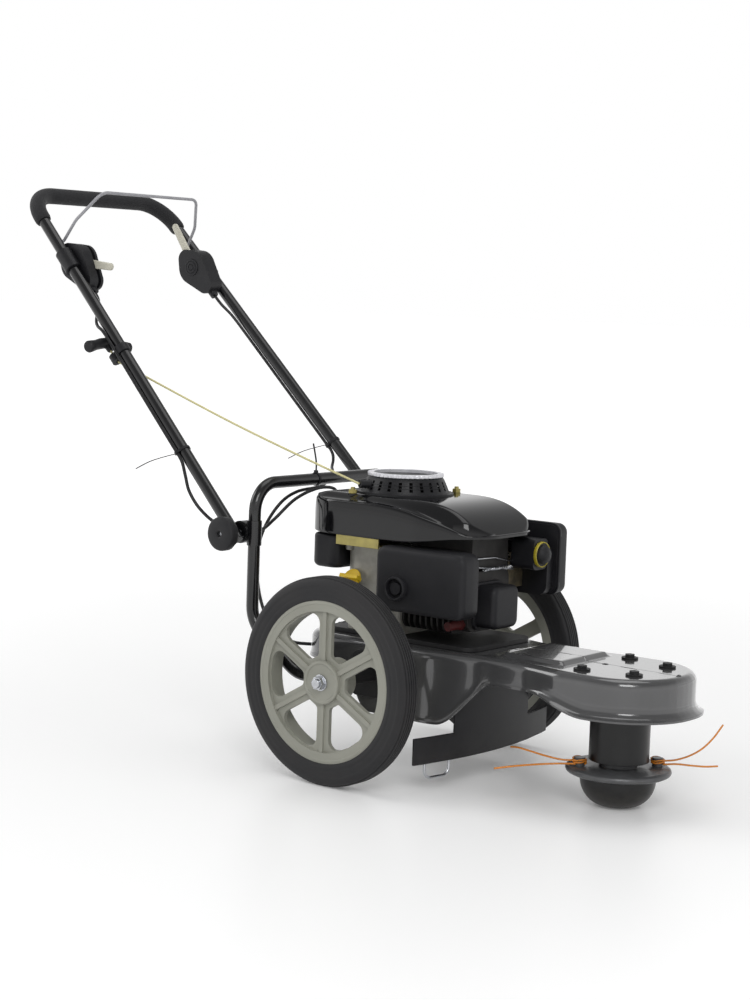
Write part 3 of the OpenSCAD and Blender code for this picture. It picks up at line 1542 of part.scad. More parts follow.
module control_housing(side, mouth) {
  difference() {
    union() {
      lever_frame(side) translate([0, 0, control_out]) pod(control_in - control_out);
      on_leg(side, control_u) rotate([0, 90, 0]) cylinder(h = clamp_l, r = control_clamp_r, center = true);
      on_leg(side, control_u) translate([-snout_l, snout_y, snout_z]) rotate([0, 90, 0])
        cylinder(h = snout_l, r = snout_r);
    }
    on_leg(side, control_u) rotate([0, 90, 0]) cylinder(h = 4 * clamp_l, r = tube_r + seat_gap, center = true);
    lever_frame(side) translate([0, 0, groove_in - groove_w]) {
      ring(groove_r, lever_core_r, groove_w);
      rotate([0, 0, mouth]) difference() {
        ring(pod_reach, groove_r - overrun, groove_w);
        translate([-pod_reach - overrun, -2 * pod_reach, -overrun])
          cube([2 * (pod_reach + overrun), 2 * pod_reach, groove_w + 2 * overrun]);
      }
    }
  }
}

module control_housings() {
  color([0.07, 0.07, 0.075]) {
    control_housing(-1, throttle_mouth);
    control_housing(1, clutch_mouth);
  }
}

module lever(side, lean, l) {
  color([0.85, 0.83, 0.75]) lever_frame(side) translate([0, 0, groove_in - (groove_w + lever_t) / 2])
    rotate([0, 0, lean]) difference() {
      union() {
        cylinder(h = lever_t, r = lever_hub_r);
        teardrop(lever_arm_r, lever_tip_r, l, lever_t);
      }
      translate([0, 0, -overrun]) cylinder(h = lever_t + 2 * overrun, r = lever_core_r + run_gap);
    }
}

clutch_extra = 16;
module throttle_lever() { lever(-1, throttle_lean, lever_l); }
module clutch_lever() { lever(1, clutch_lean, lever_l + clutch_extra); }

// Cords, cables and what holds them

cable_r = 3;
cable_sides = 8;
cable_steps = 4;
rope_r = 2;
rope_steps = 6;
rope_sag = 6;
rope_gap = 0.6;
right_hug_turn = 25;
left_hug_turn = 130;
hug = tube_r + cable_r + clear;
function hug_turn(side) = side < 0 ? right_hug_turn : left_hug_turn;
function hug_y(side) = hug * cos(hug_turn(side));
function hug_n(side) = -hug * sin(hug_turn(side));
tie_u = 188;
tie_w = 5;
tie_t = 1.6;
eye_back = 408;
eye_u = handle_l - eye_back;
eye_w = 16;
eye_r = 11;
eye_hole_r = 4;
eye_drop = 23;
eye_wall = 3;

// A tie wraps the tube and the cable lying against it
module tie(side) {
  on_leg(side, tie_u) rotate([0, 90, 0]) rotate([0, 0, 90 + hug_turn(side)]) difference() {
    teardrop(tube_r + tie_t, cable_r + tie_t, hug, tie_w);
    translate([0, 0, -overrun]) teardrop(tube_r + seat_gap, cable_r + seat_gap, hug, tie_w + 2 * overrun);
  }
}

module handle_clips() {
  color([0.06, 0.06, 0.06]) {
    tie(-1);
    tie(1);
    on_leg(-1, eye_u) rotate([0, 90, 0]) difference() {
      union() {
        cylinder(h = eye_w, r = tube_r + eye_wall, center = true);
        translate([-eye_drop, 0, 0]) cylinder(h = eye_w, r = eye_r, center = true);
      }
      cylinder(h = 2 * eye_w, r = tube_r + seat_gap, center = true);
      rotate([0, 0, 90 + hug_turn(-1)]) translate([hug, 0, 0])
        cylinder(h = 2 * eye_w, r = cable_r + clear, center = true);
      translate([-eye_drop, 0, 0]) cylinder(h = 2 * eye_w, r = eye_hole_r, center = true);
    }
  }
}

// Where each cable leaves its housing and comes to lie along the tube: how far down the leg, how far
// outboard of the tube's middle and how far above the handle's plane
right_leaves = [[0, -27, -6], [20, -26, -9], [50, -10, -20], [78, 9, -14]];
left_leaves = [[0, -27, -6], [24, -26, -6], [56, -17.3, -6.6]];
cable_shares = [0.72, 0.4, 0.15, 0];

module handle_cable(side) {
  top = control_u - snout_l * cos(leg_taper) + snout_y * sin(leg_taper) - rope_gap;
  path = concat(
    [for (p = side < 0 ? right_leaves : left_leaves) leg_point(side, top - p[0], p[1], p[2])],
    [for (share = cable_shares) leg_point(side, tie_u + (top - tie_u) * share, hug_y(side), hug_n(side))]);
  cord(curve(path, cable_steps), cable_r, cable_sides, [0, 1, 0]);
}

module handle_cables() {
  color([0.05, 0.05, 0.05]) {
    handle_cable(-1);
    handle_cable(1);
  }
}

// Routes of the two cables below the fold, from below the tie to where each ends
throttle_route = [
  [-377.5, -226.6, 527], [-371, -226, 516.4], [-368, -221, 494], [-361, -217, 466], [-340, -210, 436],
  [-306, -200, 412], [-276, -168, 400],
  [-246, -150, 404], [-218, -146, 426], [-204, -108, 460], [-203, -50, 476], [-206, 0, 474],
  [-206, 22, 457], [-200, 29.5, 444.6]
];
throttle_end = [-cowl_rear - rope_gap, 30, 442];
clutch_route = [
  [-381, 204.2, 523.5], [-374, 203, 513.6], [-364, 192, 503], [-342, 162, 494], [-300, 112, 488],
  [-248, 20, 474], [-240, -60, 468], [-246, -100, 448],
  [-262, -122, 405], [-268, -134, 355], [-258, -140, 300], [-236, -146, 256], [-208, -144, 222],
  [-184, -126, 206]
];
clutch_end = [-158.1, -104.4, 203];

module throttle_cable() {
  start = leg_point(-1, tie_u - rope_gap, hug_y(-1), hug_n(-1));
  color([0.05, 0.05, 0.05]) cord(curve(concat([start], throttle_route, [throttle_end]), cable_steps),
    cable_r, cable_sides, [0.3, 0.9, 0.1]);
}

module clutch_cable() {
  start = leg_point(1, tie_u - rope_gap, hug_y(1), hug_n(1));
  color([0.05, 0.05, 0.05]) cord(curve(concat([start], clutch_route, [clutch_end]), cable_steps),
    cable_r, cable_sides, [0.9, 0.1, 0.3]);
}

module starter_rope() {
  from = leg_point(-1, eye_u - eye_w / 2 - rope_gap, 0, -eye_drop);
  to = [-crank_back + eyelet_out * cos(eyelet_turn), eyelet_out * sin(eyelet_turn), hump_z + eyelet_rise];
  end = to + unit(from - to) * rope_gap;
  mid = (from + end) / 2 - [0, 0, rope_sag];
  color([0.85, 0.82, 0.62]) cord(curve([from, mid, end], rope_steps), rope_r, cable_sides, [0, 1, 0]);
}

grip_rise = 42;
grip_u = eye_u + grip_rise;
grip_r = 11.5;
grip_n = 25;
grip_droop = 14;
grip_bend = 60;
neck_r = 7;
neck_l = 22;

module starter_grip() {
  color([0.06, 0.06, 0.065]) on_leg(-1, grip_u) translate([0, 0, grip_n]) {
    bent_bar([[-grip_droop, -grip_l / 2], [0, 0], [-grip_droop, grip_l / 2]], grip_bend, grip_r);
    translate([-neck_l, 0, 0]) rotate([0, 90, 0]) cylinder(h = neck_l, r = neck_r);
    translate([eye_u + eye_w / 2 + rope_gap - grip_u, 0, 0]) rotate([0, 90, 0])
      cylinder(h = grip_u - eye_u - eye_w / 2 - rope_gap, r = rope_r);
  }
}

// The whole machine

rear_end = pivot_x - handle_l * cos(handle_rise) - foam_r;
front_end = spindle_x + nose_r + flange_w;
frame_x = -(front_end + rear_end) / 2;

translate([frame_x, 0, 0]) {
  deck_shell();
  engine_plate();
  axle_rod();
  axle_nuts();
  axle_brackets();
  debris_guard();
  skid_wire();
  lower_handle();
  pivot_brackets();
  pivot_bolts();
  spindle_housing();
  spindle_bearings();
  spindle_bolts();
  drive_belt();
  crankcase();
  cylinder_block();
  rocker_cover();
  spark_plug();
  cowl();
  cowl_studs();
  starter_housing();
  starter_crown();
  fuel_tank();
  muffler();
  muffler_guard();
  carburettor();
  air_cleaner_base();
  air_cleaner_cover();
  brake_bracket();
  throttle_cable();
  clutch_cable();
  starter_rope();
  right_tyre();
  right_rim();
  left_tyre();
  left_rim();
  crankshaft();
  flywheel();
  engine_pulley();
  recoil_pulley();
  spindle_shaft();
  spindle_pulley();
  line_disc();
  trimmer_lines();
  glide_dome();
  idler_arm();
  upper_handle();
  foam_grip();
  control_housings();
  handle_clips();
  handle_cables();
  bail();
  throttle_lever();
  clutch_lever();
  starter_grip();
  right_knob();
  left_knob();
  fuel_cap();
  oil_plug();
  primer_bulb();
}
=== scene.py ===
import json
from math import acos, atan, cos, pi, radians, sin, sqrt, tan
import bmesh
import bpy
import numpy as np
from mathutils import Matrix, Vector

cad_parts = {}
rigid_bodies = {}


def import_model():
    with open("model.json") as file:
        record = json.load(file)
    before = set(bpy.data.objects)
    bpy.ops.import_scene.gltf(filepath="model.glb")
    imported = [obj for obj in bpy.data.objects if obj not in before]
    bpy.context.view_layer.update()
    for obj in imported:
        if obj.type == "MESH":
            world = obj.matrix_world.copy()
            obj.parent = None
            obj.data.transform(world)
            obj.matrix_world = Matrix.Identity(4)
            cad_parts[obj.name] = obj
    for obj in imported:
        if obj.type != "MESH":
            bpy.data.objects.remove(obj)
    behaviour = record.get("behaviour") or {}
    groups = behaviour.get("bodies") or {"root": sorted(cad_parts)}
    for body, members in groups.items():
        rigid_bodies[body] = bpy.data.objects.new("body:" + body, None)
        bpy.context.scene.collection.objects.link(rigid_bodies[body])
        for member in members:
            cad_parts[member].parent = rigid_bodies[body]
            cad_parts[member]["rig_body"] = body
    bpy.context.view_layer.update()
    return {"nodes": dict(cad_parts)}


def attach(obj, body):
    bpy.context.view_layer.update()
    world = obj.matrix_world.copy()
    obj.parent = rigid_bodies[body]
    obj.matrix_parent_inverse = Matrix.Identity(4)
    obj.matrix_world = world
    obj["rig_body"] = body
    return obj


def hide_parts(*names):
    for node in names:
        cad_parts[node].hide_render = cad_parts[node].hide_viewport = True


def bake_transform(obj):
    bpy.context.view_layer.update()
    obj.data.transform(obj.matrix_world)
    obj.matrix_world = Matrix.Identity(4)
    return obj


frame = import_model()
nodes = frame["nodes"]
scene = bpy.context.scene
scene.view_settings.view_transform = "Standard"
axleX = 151.149  # the axle's place along the row's X, in millimetres
crankX, spindleX = -39, 424  # upright axes of the engine and of the trimmer head
diagonal = sqrt(0.5)  # the upper handle leans back by half a right angle
loopArc, pathArc = 10, 12  # steps in each rounded corner
upright = (0, 0, 1)
sides = (("right", -1), ("left", 1))


# Outlines and paths, in machine millimetres from the point under the axle

def floats(points):
    return np.asarray(points, float)


def place(points):
    return (floats(points) + [axleX, 0, 0]) * 0.001


def smooth(t):
    k = np.clip(t, 0, 1)
    return k * k * (3 - 2 * k)


def eased(base, rises, x):
    # base plus each (amount, start, length), eased in along x
    for amount, start, length in rises:
        base = base + amount * smooth((x - start) / length)
    return base


def unit(v):
    return v / np.linalg.norm(v, axis=-1, keepdims=True)


def arcCorner(a, b, c, radius, steps):
    # arc tangent to both sides of the corner b: slerp from one touching point to the other
    u, v = unit(a - b), unit(c - b)
    half = acos(np.clip(u @ v, -1, 1)) / 2
    middle = b + unit(u + v) * radius / sin(half)
    start, end = b + u * radius / tan(half) - middle, b + v * radius / tan(half) - middle
    sweepBy = pi - 2 * half
    t = np.linspace(0, 1, steps + 1)[:, None]
    return middle + (np.sin((1 - t) * sweepBy) * start + np.sin(t * sweepBy) * end) / sin(sweepBy)


def evenly(path, step):
    # the same polyline sampled at equal lengths
    length = np.concatenate([[0], np.cumsum(np.linalg.norm(np.diff(path, axis=0), axis=1))])
    at = np.linspace(0, length[-1], max(3, int(round(length[-1] / step)) + 1))
    return np.stack([np.interp(at, length, path[:, k]) for k in range(path.shape[1])], 1)


def roundedLoop(points, radii, step):
    # closed outline with rounded corners, spaced evenly
    p = floats(points)
    n = len(p)
    loop = np.vstack([arcCorner(p[i - 1], p[i], p[(i + 1) % n], radii[i], loopArc) for i in range(n)])
    return evenly(np.vstack([loop, loop[:1]]), step)[:-1]


def mirroredLoop(corners, step):
    # outline through (x, y, radius) corners on the right and their mirror images
    c = floats(corners)
    return roundedLoop(np.vstack([c[:, :2] * [1, -1], c[::-1, :2]]), [*c[:, 2], *c[::-1, 2]], step)


def boxLoop(w, h, radius, step):
    corners = [[-w / 2, -h / 2], [w / 2, -h / 2], [w / 2, h / 2], [-w / 2, h / 2]]
    return roundedLoop(corners, [radius] * 4, step)


def bentPath(points, bend, step=6):
    # open path with an arc at each inner corner
    p = floats(points)
    radii = np.broadcast_to(bend, len(p) - 2)
    arcs = [arcCorner(p[i - 1], p[i], p[i + 1], radii[i - 1], pathArc) for i in range(1, len(p) - 1)]
    return evenly(np.vstack([p[:1], *arcs, p[-1:]]), step)


def curvePath(points, steps):
    # Catmull-Rom curve through the points, as in the part's source
    p = floats(points)
    a, b, c, d = p[[0, *range(len(p) - 2)]], p[:-1], p[1:], p[[*range(2, len(p)), len(p) - 1]]
    t = (np.arange(steps) / steps)[None, :, None]
    a, b, c, d = a[:, None], b[:, None], c[:, None], d[:, None]
    q = (2 * b + (c - a) * t + (2 * a - 5 * b + 4 * c - d) * t ** 2 + (3 * b - a - 3 * c + d) * t ** 3) / 2
    return np.vstack([q.reshape(-1, 3), p[-1:]])


def outNormals(loop):
    # outward normals of an anticlockwise outline
    t = unit(np.roll(loop, -1, 0) - np.roll(loop, 1, 0))
    return np.stack([t[:, 1], -t[:, 0]], 1)


# Meshes: a surface is a grid of points closed round each row, and a flag if its rows close too

def linked(name, data):
    item = bpy.data.objects.new(name, data)
    scene.collection.objects.link(item)
    return item


def tidyMesh(mesh, angle, close, flat=0):
    bm = bmesh.new()
    bm.from_mesh(mesh)
    bmesh.ops.remove_doubles(bm, verts=bm.verts, dist=close)
    bmesh.ops.dissolve_degenerate(bm, edges=bm.edges, dist=close)
    if flat:
        bmesh.ops.dissolve_limit(bm, angle_limit=radians(flat), verts=bm.verts, edges=bm.edges)
    bmesh.ops.recalc_face_normals(bm, faces=bm.faces)
    bm.to_mesh(mesh)
    bm.free()
    mesh.shade_smooth()
    mesh.set_sharp_from_angle(angle=radians(angle))


def finishPiece(piece, body, finish, stands, slot=None):
    piece.data.materials.clear()
    piece.data.materials.append(finishes[finish])
    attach(piece, body)
    if stands:
        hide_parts(*stands)
    return piece


def addPiece(name, surfaces, finish, stands=(), body="chassis", slot=None, angle=38, thick=0, uv=False):
    # quads join neighbours on each grid; the map runs round and along the rows
    points, faces, maps, base = [], [], [], 0
    for grid, closed in surfaces:
        rows, cols = grid.shape[:2]
        r, c = np.arange(rows - (not closed))[:, None], np.arange(cols)[None, :]
        corners = [(r, c), (r, c + 1), (r + 1, c + 1), (r + 1, c)]
        picks = [(i % rows) * cols + j % cols + 0 * (r + c) for i, j in corners]
        spots = [np.stack([j / cols + 0 * r, i / rows + 0 * c], -1) for i, j in corners]
        faces.append(np.stack(picks, -1).reshape(-1, 4) + base)
        maps.append(np.stack(spots, 2).reshape(-1, 2))
        points.append(grid.reshape(-1, 3))
        base += rows * cols
    mesh = bpy.data.meshes.new(name)
    mesh.from_pydata(place(np.vstack(points)).tolist(), [], np.vstack(faces).tolist())
    if uv:
        mesh.uv_layers.new(name="along").data.foreach_set("uv", np.vstack(maps).astype(np.float32).ravel())
    tidyMesh(mesh, angle, 1e-6)
    piece = linked(name, mesh)
    if thick:
        wall = piece.modifiers.new("wall", "SOLIDIFY")
        wall.thickness, wall.offset = thick * 0.001, -1
    return finishPiece(piece, body, finish, stands, slot)


def dressAll(rows, body="chassis"):
    # copies of CAD nodes with their sharp edges broken by a bevel
    for node, finish, bevel, *slot in rows:
        mesh = nodes[node].data.copy()
        tidyMesh(mesh, 32, 2e-6, 0.5)
        piece = linked("shown_" + node, mesh)
        edge = piece.modifiers.new("edges", "BEVEL")
        edge.width, edge.segments, edge.limit_method = bevel * 0.001, 2, "ANGLE"
        edge.angle_limit = radians(36)
        finishPiece(piece, body, finish, [node], *slot)


def turnFrame(axis):
    # two unit vectors square to an axis and to each other
    k = unit(floats(axis))
    i = unit(np.cross([0, 0, 1] if abs(k[2]) < 0.9 else [0, 1, 0], k))
    return i, np.cross(k, i), k


def turned(profile, origin, axis, steps=96, wave=None, closed=False):
    # profile of (radius, height) carried round an axis; wave(angle, row) scales the radius
    i, j, k = turnFrame(axis)
    p = floats(profile)
    a = np.linspace(0, 2 * pi, steps, endpoint=False)[None, :]
    r = p[:, :1] * (wave(a, p) if wave else 1)
    ring = r[..., None] * (np.cos(a)[..., None] * i + np.sin(a)[..., None] * j)
    return np.asarray(origin) + ring + p[:, 1:2, None] * k, closed


def swept(path, radius, steps=20, section=None):
    # unit outline carried along a path with the least turning; each end closes on its middle
    p = floats(path)
    t = unit(np.gradient(p, axis=0))
    side = [turnFrame(t[0])[0]]
    for k in range(1, len(p)):
        side.append(unit(side[-1] - t[k] * (side[-1] @ t[k])))
    side = np.array(side)
    up = np.cross(t, side)
    a = np.linspace(0, 2 * pi, steps, endpoint=False)
    shape = np.stack([np.cos(a), np.sin(a)], 1) if section is None else section
    r = np.broadcast_to(radius, len(p))[:, None, None]
    grid = p[:, None] + r * (shape[None, :, :1] * side[:, None] + shape[None, :, 1:] * up[:, None])
    first, last = (np.repeat(end[:, None], len(shape), 1) for end in (p[:1], p[-1:]))
    return np.concatenate([first, grid, last]), False


faceAxes = {  # where an outline's x, y and height point, by the side that it looks to
    "up": [(1, 0, 0), (0, 1, 0), (0, 0, 1)], "front": [(0, 1, 0), (0, 0, 1), (1, 0, 0)],
    "right": [(1, 0, 0), (0, 0, 1), (0, -1, 0)], "left": [(1, 0, 0), (0, 0, 1), (0, 1, 0)],
}


def pressed(loop, rings, at, looks="up", crown=None, faceRows=10):
    # outline moved in by each ring's inset at its height; then onto the middle, raised by crown
    n = outNormals(loop)
    rows = [np.column_stack([loop - n * inset, np.full(len(loop), height)]) for inset, height in rings]
    if crown:
        last = rows[-1]
        for s in np.linspace(0, 1, faceRows + 1)[1:]:
            q = last[:, :2] - last[:, :2] * s
            rows.append(np.column_stack([q, last[:, 2] + crown(q[:, 0], q[:, 1])]))
    return np.array(rows) @ faceAxes[looks] + at, False


def flatFace(x, y):
    return 0 * x


def filletRings(inset, height, radius, steps=6):
    # quarter round from an upright wall onto a flat face at the height
    a = np.linspace(0, pi / 2, steps + 1)
    return [(inset + radius * (1 - cos(x)), height - radius + radius * sin(x)) for x in a]


def boxCover(own, crown=flatFace, faceRows=10):
    # a rounded box's outline carried up its rings, then over a fillet onto its face
    rings = own["rings"] + filletRings(*own["fillet"])
    return pressed(boxLoop(*own["box"]), rings, own["at"], own["looks"], crown, faceRows)


# Finishes: a wrapped socket takes part in sums, and each operator adds one Math node

class Wire:
    def __init__(self, tree, socket=None):
        self.tree, self.socket = tree, socket

    def add(self, kind, settings=None, inputs=None, out=0):
        node = self.tree.nodes.new(kind)
        for key, value in (settings or {}).items():
            setattr(node, key, value)
        for key, value in (inputs or {}).items():
            if isinstance(value, Wire):
                self.tree.links.new(value.socket, node.inputs[key])
            else:
                node.inputs[key].default_value = value
        return Wire(self.tree, node.outputs[out])

    def maths(self, operation, a, b=0.0, clamp=False):
        return self.add("ShaderNodeMath", {"operation": operation, "use_clamp": clamp}, {0: a, 1: b})

    def __add__(self, other):
        return self.maths("ADD", self, other)

    def __sub__(self, other):
        return self.maths("SUBTRACT", self, other)

    def __rsub__(self, other):
        return self.maths("SUBTRACT", other, self)

    def __mul__(self, other):
        return self.maths("MULTIPLY", self, other)

    __radd__, __rmul__ = __add__, __mul__

    def clamped(self):
        return self.maths("ADD", self, 0.0, True)

    def mixed(self, a, b):
        # two colours mixed by this value
        return self.add("ShaderNodeMix", {"data_type": "RGBA"}, {0: self, 6: colourOf(a), 7: colourOf(b)}, 2)

    def noise(self, scale, detail):
        return self.add("ShaderNodeTexNoise", None,
                        {"Vector": self, "Scale": scale, "Detail": detail, "Roughness": 0.55})

    def part(self, k):
        return self.add("ShaderNodeSeparateXYZ", None, {0: self}, k)


def colourOf(value):
    return value if isinstance(value, Wire) else (*value, 1)


def tone(colour):
    # sRGB 0 to 255 as linear light
    return tuple(c / 255 / 12.92 if c <= 10 else ((c / 255 + 0.055) / 1.055) ** 2.4 for c in colour)


def newFinish(name, metal=0.0, coat=0.0, coatRough=0.06, sheen=0.0, specular=0.5):
    material = bpy.data.materials.new(name)
    material.use_nodes = True
    shader = material.node_tree.nodes["Principled BSDF"]
    for socket, value in (("Metallic", metal), ("Coat Weight", coat), ("Coat Roughness", coatRough),
                          ("Sheen Weight", sheen), ("Specular IOR Level", specular)):
        shader.inputs[socket].default_value = value
    return material, shader, Wire(material.node_tree)


def feed(shader, colour, roughness, height, bump, deep):
    # colour, roughness and a bump from the height into the shader
    bumped = height.add("ShaderNodeBump", None, {"Strength": bump, "Distance": deep, "Height": height})
    for value, socket in ((colour, "Base Color"), (roughness, "Roughness"), (bumped, "Normal")):
        height.tree.links.new(value.socket, shader.inputs[socket])


def finishFor(name, base, other, rough, mottle, grain, bump, spread=0.12, dust=None, deep=0.0003, **surface):
    # two tones mixed by cloudy noise, grain in roughness and bump, and dust that thins upwards
    material, shader, wire = newFinish(name, **surface)
    spot = wire.add("ShaderNodeTexCoord", out=3)
    cloud = spot.noise(mottle, 4.0)
    fine = spot.noise(grain, 2.0)
    colour = ((cloud - 0.34) * 3.0).clamped().mixed(tone(base), tone(other))
    roughness = (fine - 0.5) * spread + (cloud - 0.5) * spread + rough
    if dust:
        level, amount = dust
        patches = (spot.noise(60.0, 5.0) * 1.6 - 0.3).clamped()
        film = ((level - spot.part(2)) * (1 / level)).clamped() * patches * amount
        colour = film.mixed(colour, tone(greyDust))
        roughness = roughness + film * 0.3
    feed(shader, colour, roughness.clamped(), fine, bump, deep)
    return material


def foamFinish(name):
    # closed-cell foam: small Voronoi cells as pits; each pit is painted darker as shade, half mixed with
    # cloudy tone
    material, shader, wire = newFinish(name, sheen=0.12, specular=0.25)
    spot = wire.add("ShaderNodeTexCoord", out=3)
    cells = wire.add("ShaderNodeTexVoronoi", None, {"Vector": spot, "Scale": 700.0})
    pit = (1.0 - cells * 1.3).clamped()
    # painted shade in each pit, mixed half and half with cloudy tone that varies at random
    pitShadeAndTone = (pit * 0.5 + spot.noise(18.0, 4.0) * 0.5).clamped()
    feed(shader, pitShadeAndTone.mixed(tone((42, 42, 44)), tone((27, 27, 29))), 0.82 + pit * 0.1, cells, 0.5, 0.0006)
    return material


def strandFinish(name, base, other, around, along, rough, deep, coat=0.0):
    # bands wound both ways round a cord on its map: sines of turns around plus and less turns along; the
    # grooves between bands are painted darker as shade
    material, shader, wire = newFinish(name, coat=coat)
    uv = wire.add("ShaderNodeUVMap", {"uv_map": "along"})
    u, v = uv.part(0) * around, uv.part(1) * along
    bands = [wire.maths("SINE", phase * (2 * pi)) * 0.5 + 0.5 for phase in (u + v, u - v)]
    weave = wire.maths("MAXIMUM", *bands)
    cloud = wire.add("ShaderNodeTexCoord", out=3).noise(80.0, 3.0)
    # painted shade: the tone darkens into the grooves of the weave, mixed with cloudy tone
    colour = (weave * 0.6 + cloud * 0.5).clamped().mixed(tone(other), tone(base))
    feed(shader, colour, rough + (cloud - 0.5) * 0.15, weave, 0.6, deep)
    return material


greyDust = (150, 142, 128)
finishTable = dict(  # slot, two sRGB tones, roughness, scales of mottle and grain, bump, the rest
    tyreRubber=("tyre", (33, 33, 35), (41, 40, 41), 0.6, 14, 1500, 0.25, {"sheen": 0.06, "specular": 0.3}),
    rimPlastic=("rim", (152, 152, 142), (142, 142, 132), 0.42, 9, 1100, 0.1, {"specular": 0.4}),
    deckPaint=("deck_paint", (74, 74, 75), (66, 66, 67), 0.2, 5, 2600, 0.06,
        {"metal": 0.2, "coat": 1.0, "coatRough": 0.04, "spread": 0.08, "dust": (0.2, 0.05)}),
    tubePaint=("black_paint", (12, 12, 14), (17, 17, 19), 0.22, 30, 420, 0.08,
        {"coat": 0.25, "spread": 0.07, "specular": 0.45}),
    plateBlack=("black_paint", (24, 24, 26), (33, 33, 34), 0.5, 40, 700, 0.15,
        {"dust": (0.3, 0.05), "specular": 0.3}),
    cowlGloss=("gloss_black", (11, 11, 13), (15, 15, 17), 0.1, 8, 500, 0.03,
        {"spread": 0.05, "specular": 0.42}),
    guardBlack=("black_plastic", (25, 25, 28), (32, 32, 35), 0.5, 16, 1700, 0.3,
        {"spread": 0.1, "specular": 0.26}),
    mouldedBlack=("black_plastic", (22, 22, 25), (29, 29, 32), 0.44, 26, 1900, 0.3, {"specular": 0.3}),
    castAlloy=("cast", (162, 160, 152), (138, 137, 131), 0.5, 34, 1300, 0.5,
        {"metal": 0.5, "spread": 0.2, "deep": 0.0004}),
    # the cylinder block's alloy is given a dark tone: painted shade from under the cowl
    finAlloy=("iron", (44, 43, 43), (58, 57, 56), 0.55, 40, 1300, 0.4,
        {"metal": 0.3, "spread": 0.2, "specular": 0.3}),
    brightSteel=("zinc", (196, 198, 202), (176, 178, 182), 0.26, 60, 1600, 0.12,
        {"metal": 1.0, "spread": 0.14}),
    crownSilver=("steel", (226, 226, 230), (204, 204, 209), 0.3, 70, 1500, 0.15,
        {"metal": 0.5, "spread": 0.15}),
    greySteel=("steel", (120, 120, 122), (98, 98, 100), 0.4, 40, 1400, 0.2, {"metal": 0.9, "spread": 0.18}),
    yellowZinc=("zinc", (172, 160, 96), (150, 140, 86), 0.32, 55, 1200, 0.1,
        {"metal": 0.55, "spread": 0.14}),
    mufflerSteel=("muffler_steel", (112, 104, 96), (84, 72, 62), 0.5, 30, 900, 0.3,
        {"metal": 0.8, "spread": 0.2}),
    discPaint=("disc", (92, 93, 95), (78, 79, 81), 0.34, 40, 900, 0.15,
        {"metal": 0.2, "dust": (0.09, 0.1)}),
    beltRubber=("belt", (24, 24, 25), (34, 33, 32), 0.7, 60, 1500, 0.4, {"specular": 0.3}),
    flapPlastic=("flap", (24, 24, 27), (32, 32, 35), 0.46, 18, 1300, 0.25,
        {"dust": (0.1, 0.1), "specular": 0.3}),
    bootRed=("boot", (88, 31, 31), (64, 25, 25), 0.5, 60, 900, 0.2, {"specular": 0.3}),
    oilYellow=("yellow", (224, 190, 22), (208, 172, 16), 0.34, 50, 1000, 0.08, {}),
    primerYellow=("yellow", (172, 158, 40), (152, 138, 34), 0.36, 60, 900, 0.1, {}),
    leverIvory=("ivory", (206, 203, 188), (192, 189, 174), 0.36, 50, 1100, 0.08, {}),
    bailGrey=("grey_paint", (158, 158, 162), (144, 144, 149), 0.34, 40, 1200, 0.1, {"coat": 0.2}),
    domePlastic=("black_plastic", (14, 14, 15), (21, 21, 22), 0.34, 30, 1100, 0.2,
        {"spread": 0.16, "dust": (0.05, 0.15), "specular": 0.4}),
    softBlack=("soft_black", (24, 24, 27), (31, 31, 33), 0.55, 30, 1500, 0.3,
        {"sheen": 0.05, "specular": 0.3}),
    brass=("cast", (132, 122, 98), (92, 85, 72), 0.36, 70, 1100, 0.15, {"metal": 0.7}),
    cableSheath=("cable", (18, 18, 20), (26, 26, 28), 0.4, 70, 1200, 0.2, {"specular": 0.4}))
finishes = {name: finishFor(name, *row[1:-1], **row[-1]) for name, row in finishTable.items()}
finishes.update(
    foamCells=foamFinish("foamCells"),
    ropeBraid=strandFinish("ropeBraid", (226, 220, 170), (170, 160, 104), 4, 160, 0.6, 0.0005),
    lineNylon=strandFinish("lineNylon", (224, 140, 40), (196, 112, 24), 2, 10, 0.3, 0.0002, 0.3))
slots = {name: row[0] for name, row in finishTable.items()}
slots.update(foamCells="foam", ropeBraid="rope", lineNylon="line")
print("finishes ready")

# Camera: the photograph's angle, height and lean, without the squeeze of its width

cameraPlan = dict(
    at=(2.2552, -2.8267, 0.8321), azimuth=38.86, pitch=5.56, lean=1.86, lens=72.0, shift=(0.0285, -0.013))


def makeCamera(own):
    data = bpy.data.cameras.new("camera")
    camera = linked("camera", data)
    a, e, r = (radians(own[k]) for k in ("azimuth", "pitch", "lean"))
    right = Vector((cos(a), sin(a), 0))
    ahead = Vector((-sin(a) * cos(e), cos(a) * cos(e), -sin(e)))
    up = right.cross(ahead)
    across, above = right * cos(r) + up * sin(r), up * cos(r) - right * sin(r)
    turn = Matrix((across, above, -ahead)).transposed().to_4x4()
    camera.matrix_world = Matrix.Translation(own["at"]) @ turn
    data.lens, data.sensor_width = own["lens"], 36
    data.shift_x, data.shift_y = own["shift"]
    data.clip_end = 200
    scene.camera = camera


makeCamera(cameraPlan)

# Places on the upper handle

handlePlan = dict(
    pivot=(-246, 404), pivotHalf=222, topHalf=182, length=844, bend=65, end=-16, tube=11, foamFrom=771,
    foam=15.5, foamEnd=(1.6, 2, 2.5), foamWaver=(0.12, 0.45, 0.13))
podPlan = dict(at=664, face=44, snout=74, exit=27)  # control pods on the legs
legTaper = atan((handlePlan["pivotHalf"] - handlePlan["topHalf"]) / handlePlan["length"])


def handleHalf(u):
    # half the handle's width at u up its legs
    low, top = handlePlan["pivotHalf"], handlePlan["topHalf"]
    return low - (low - top) * u / handlePlan["length"]


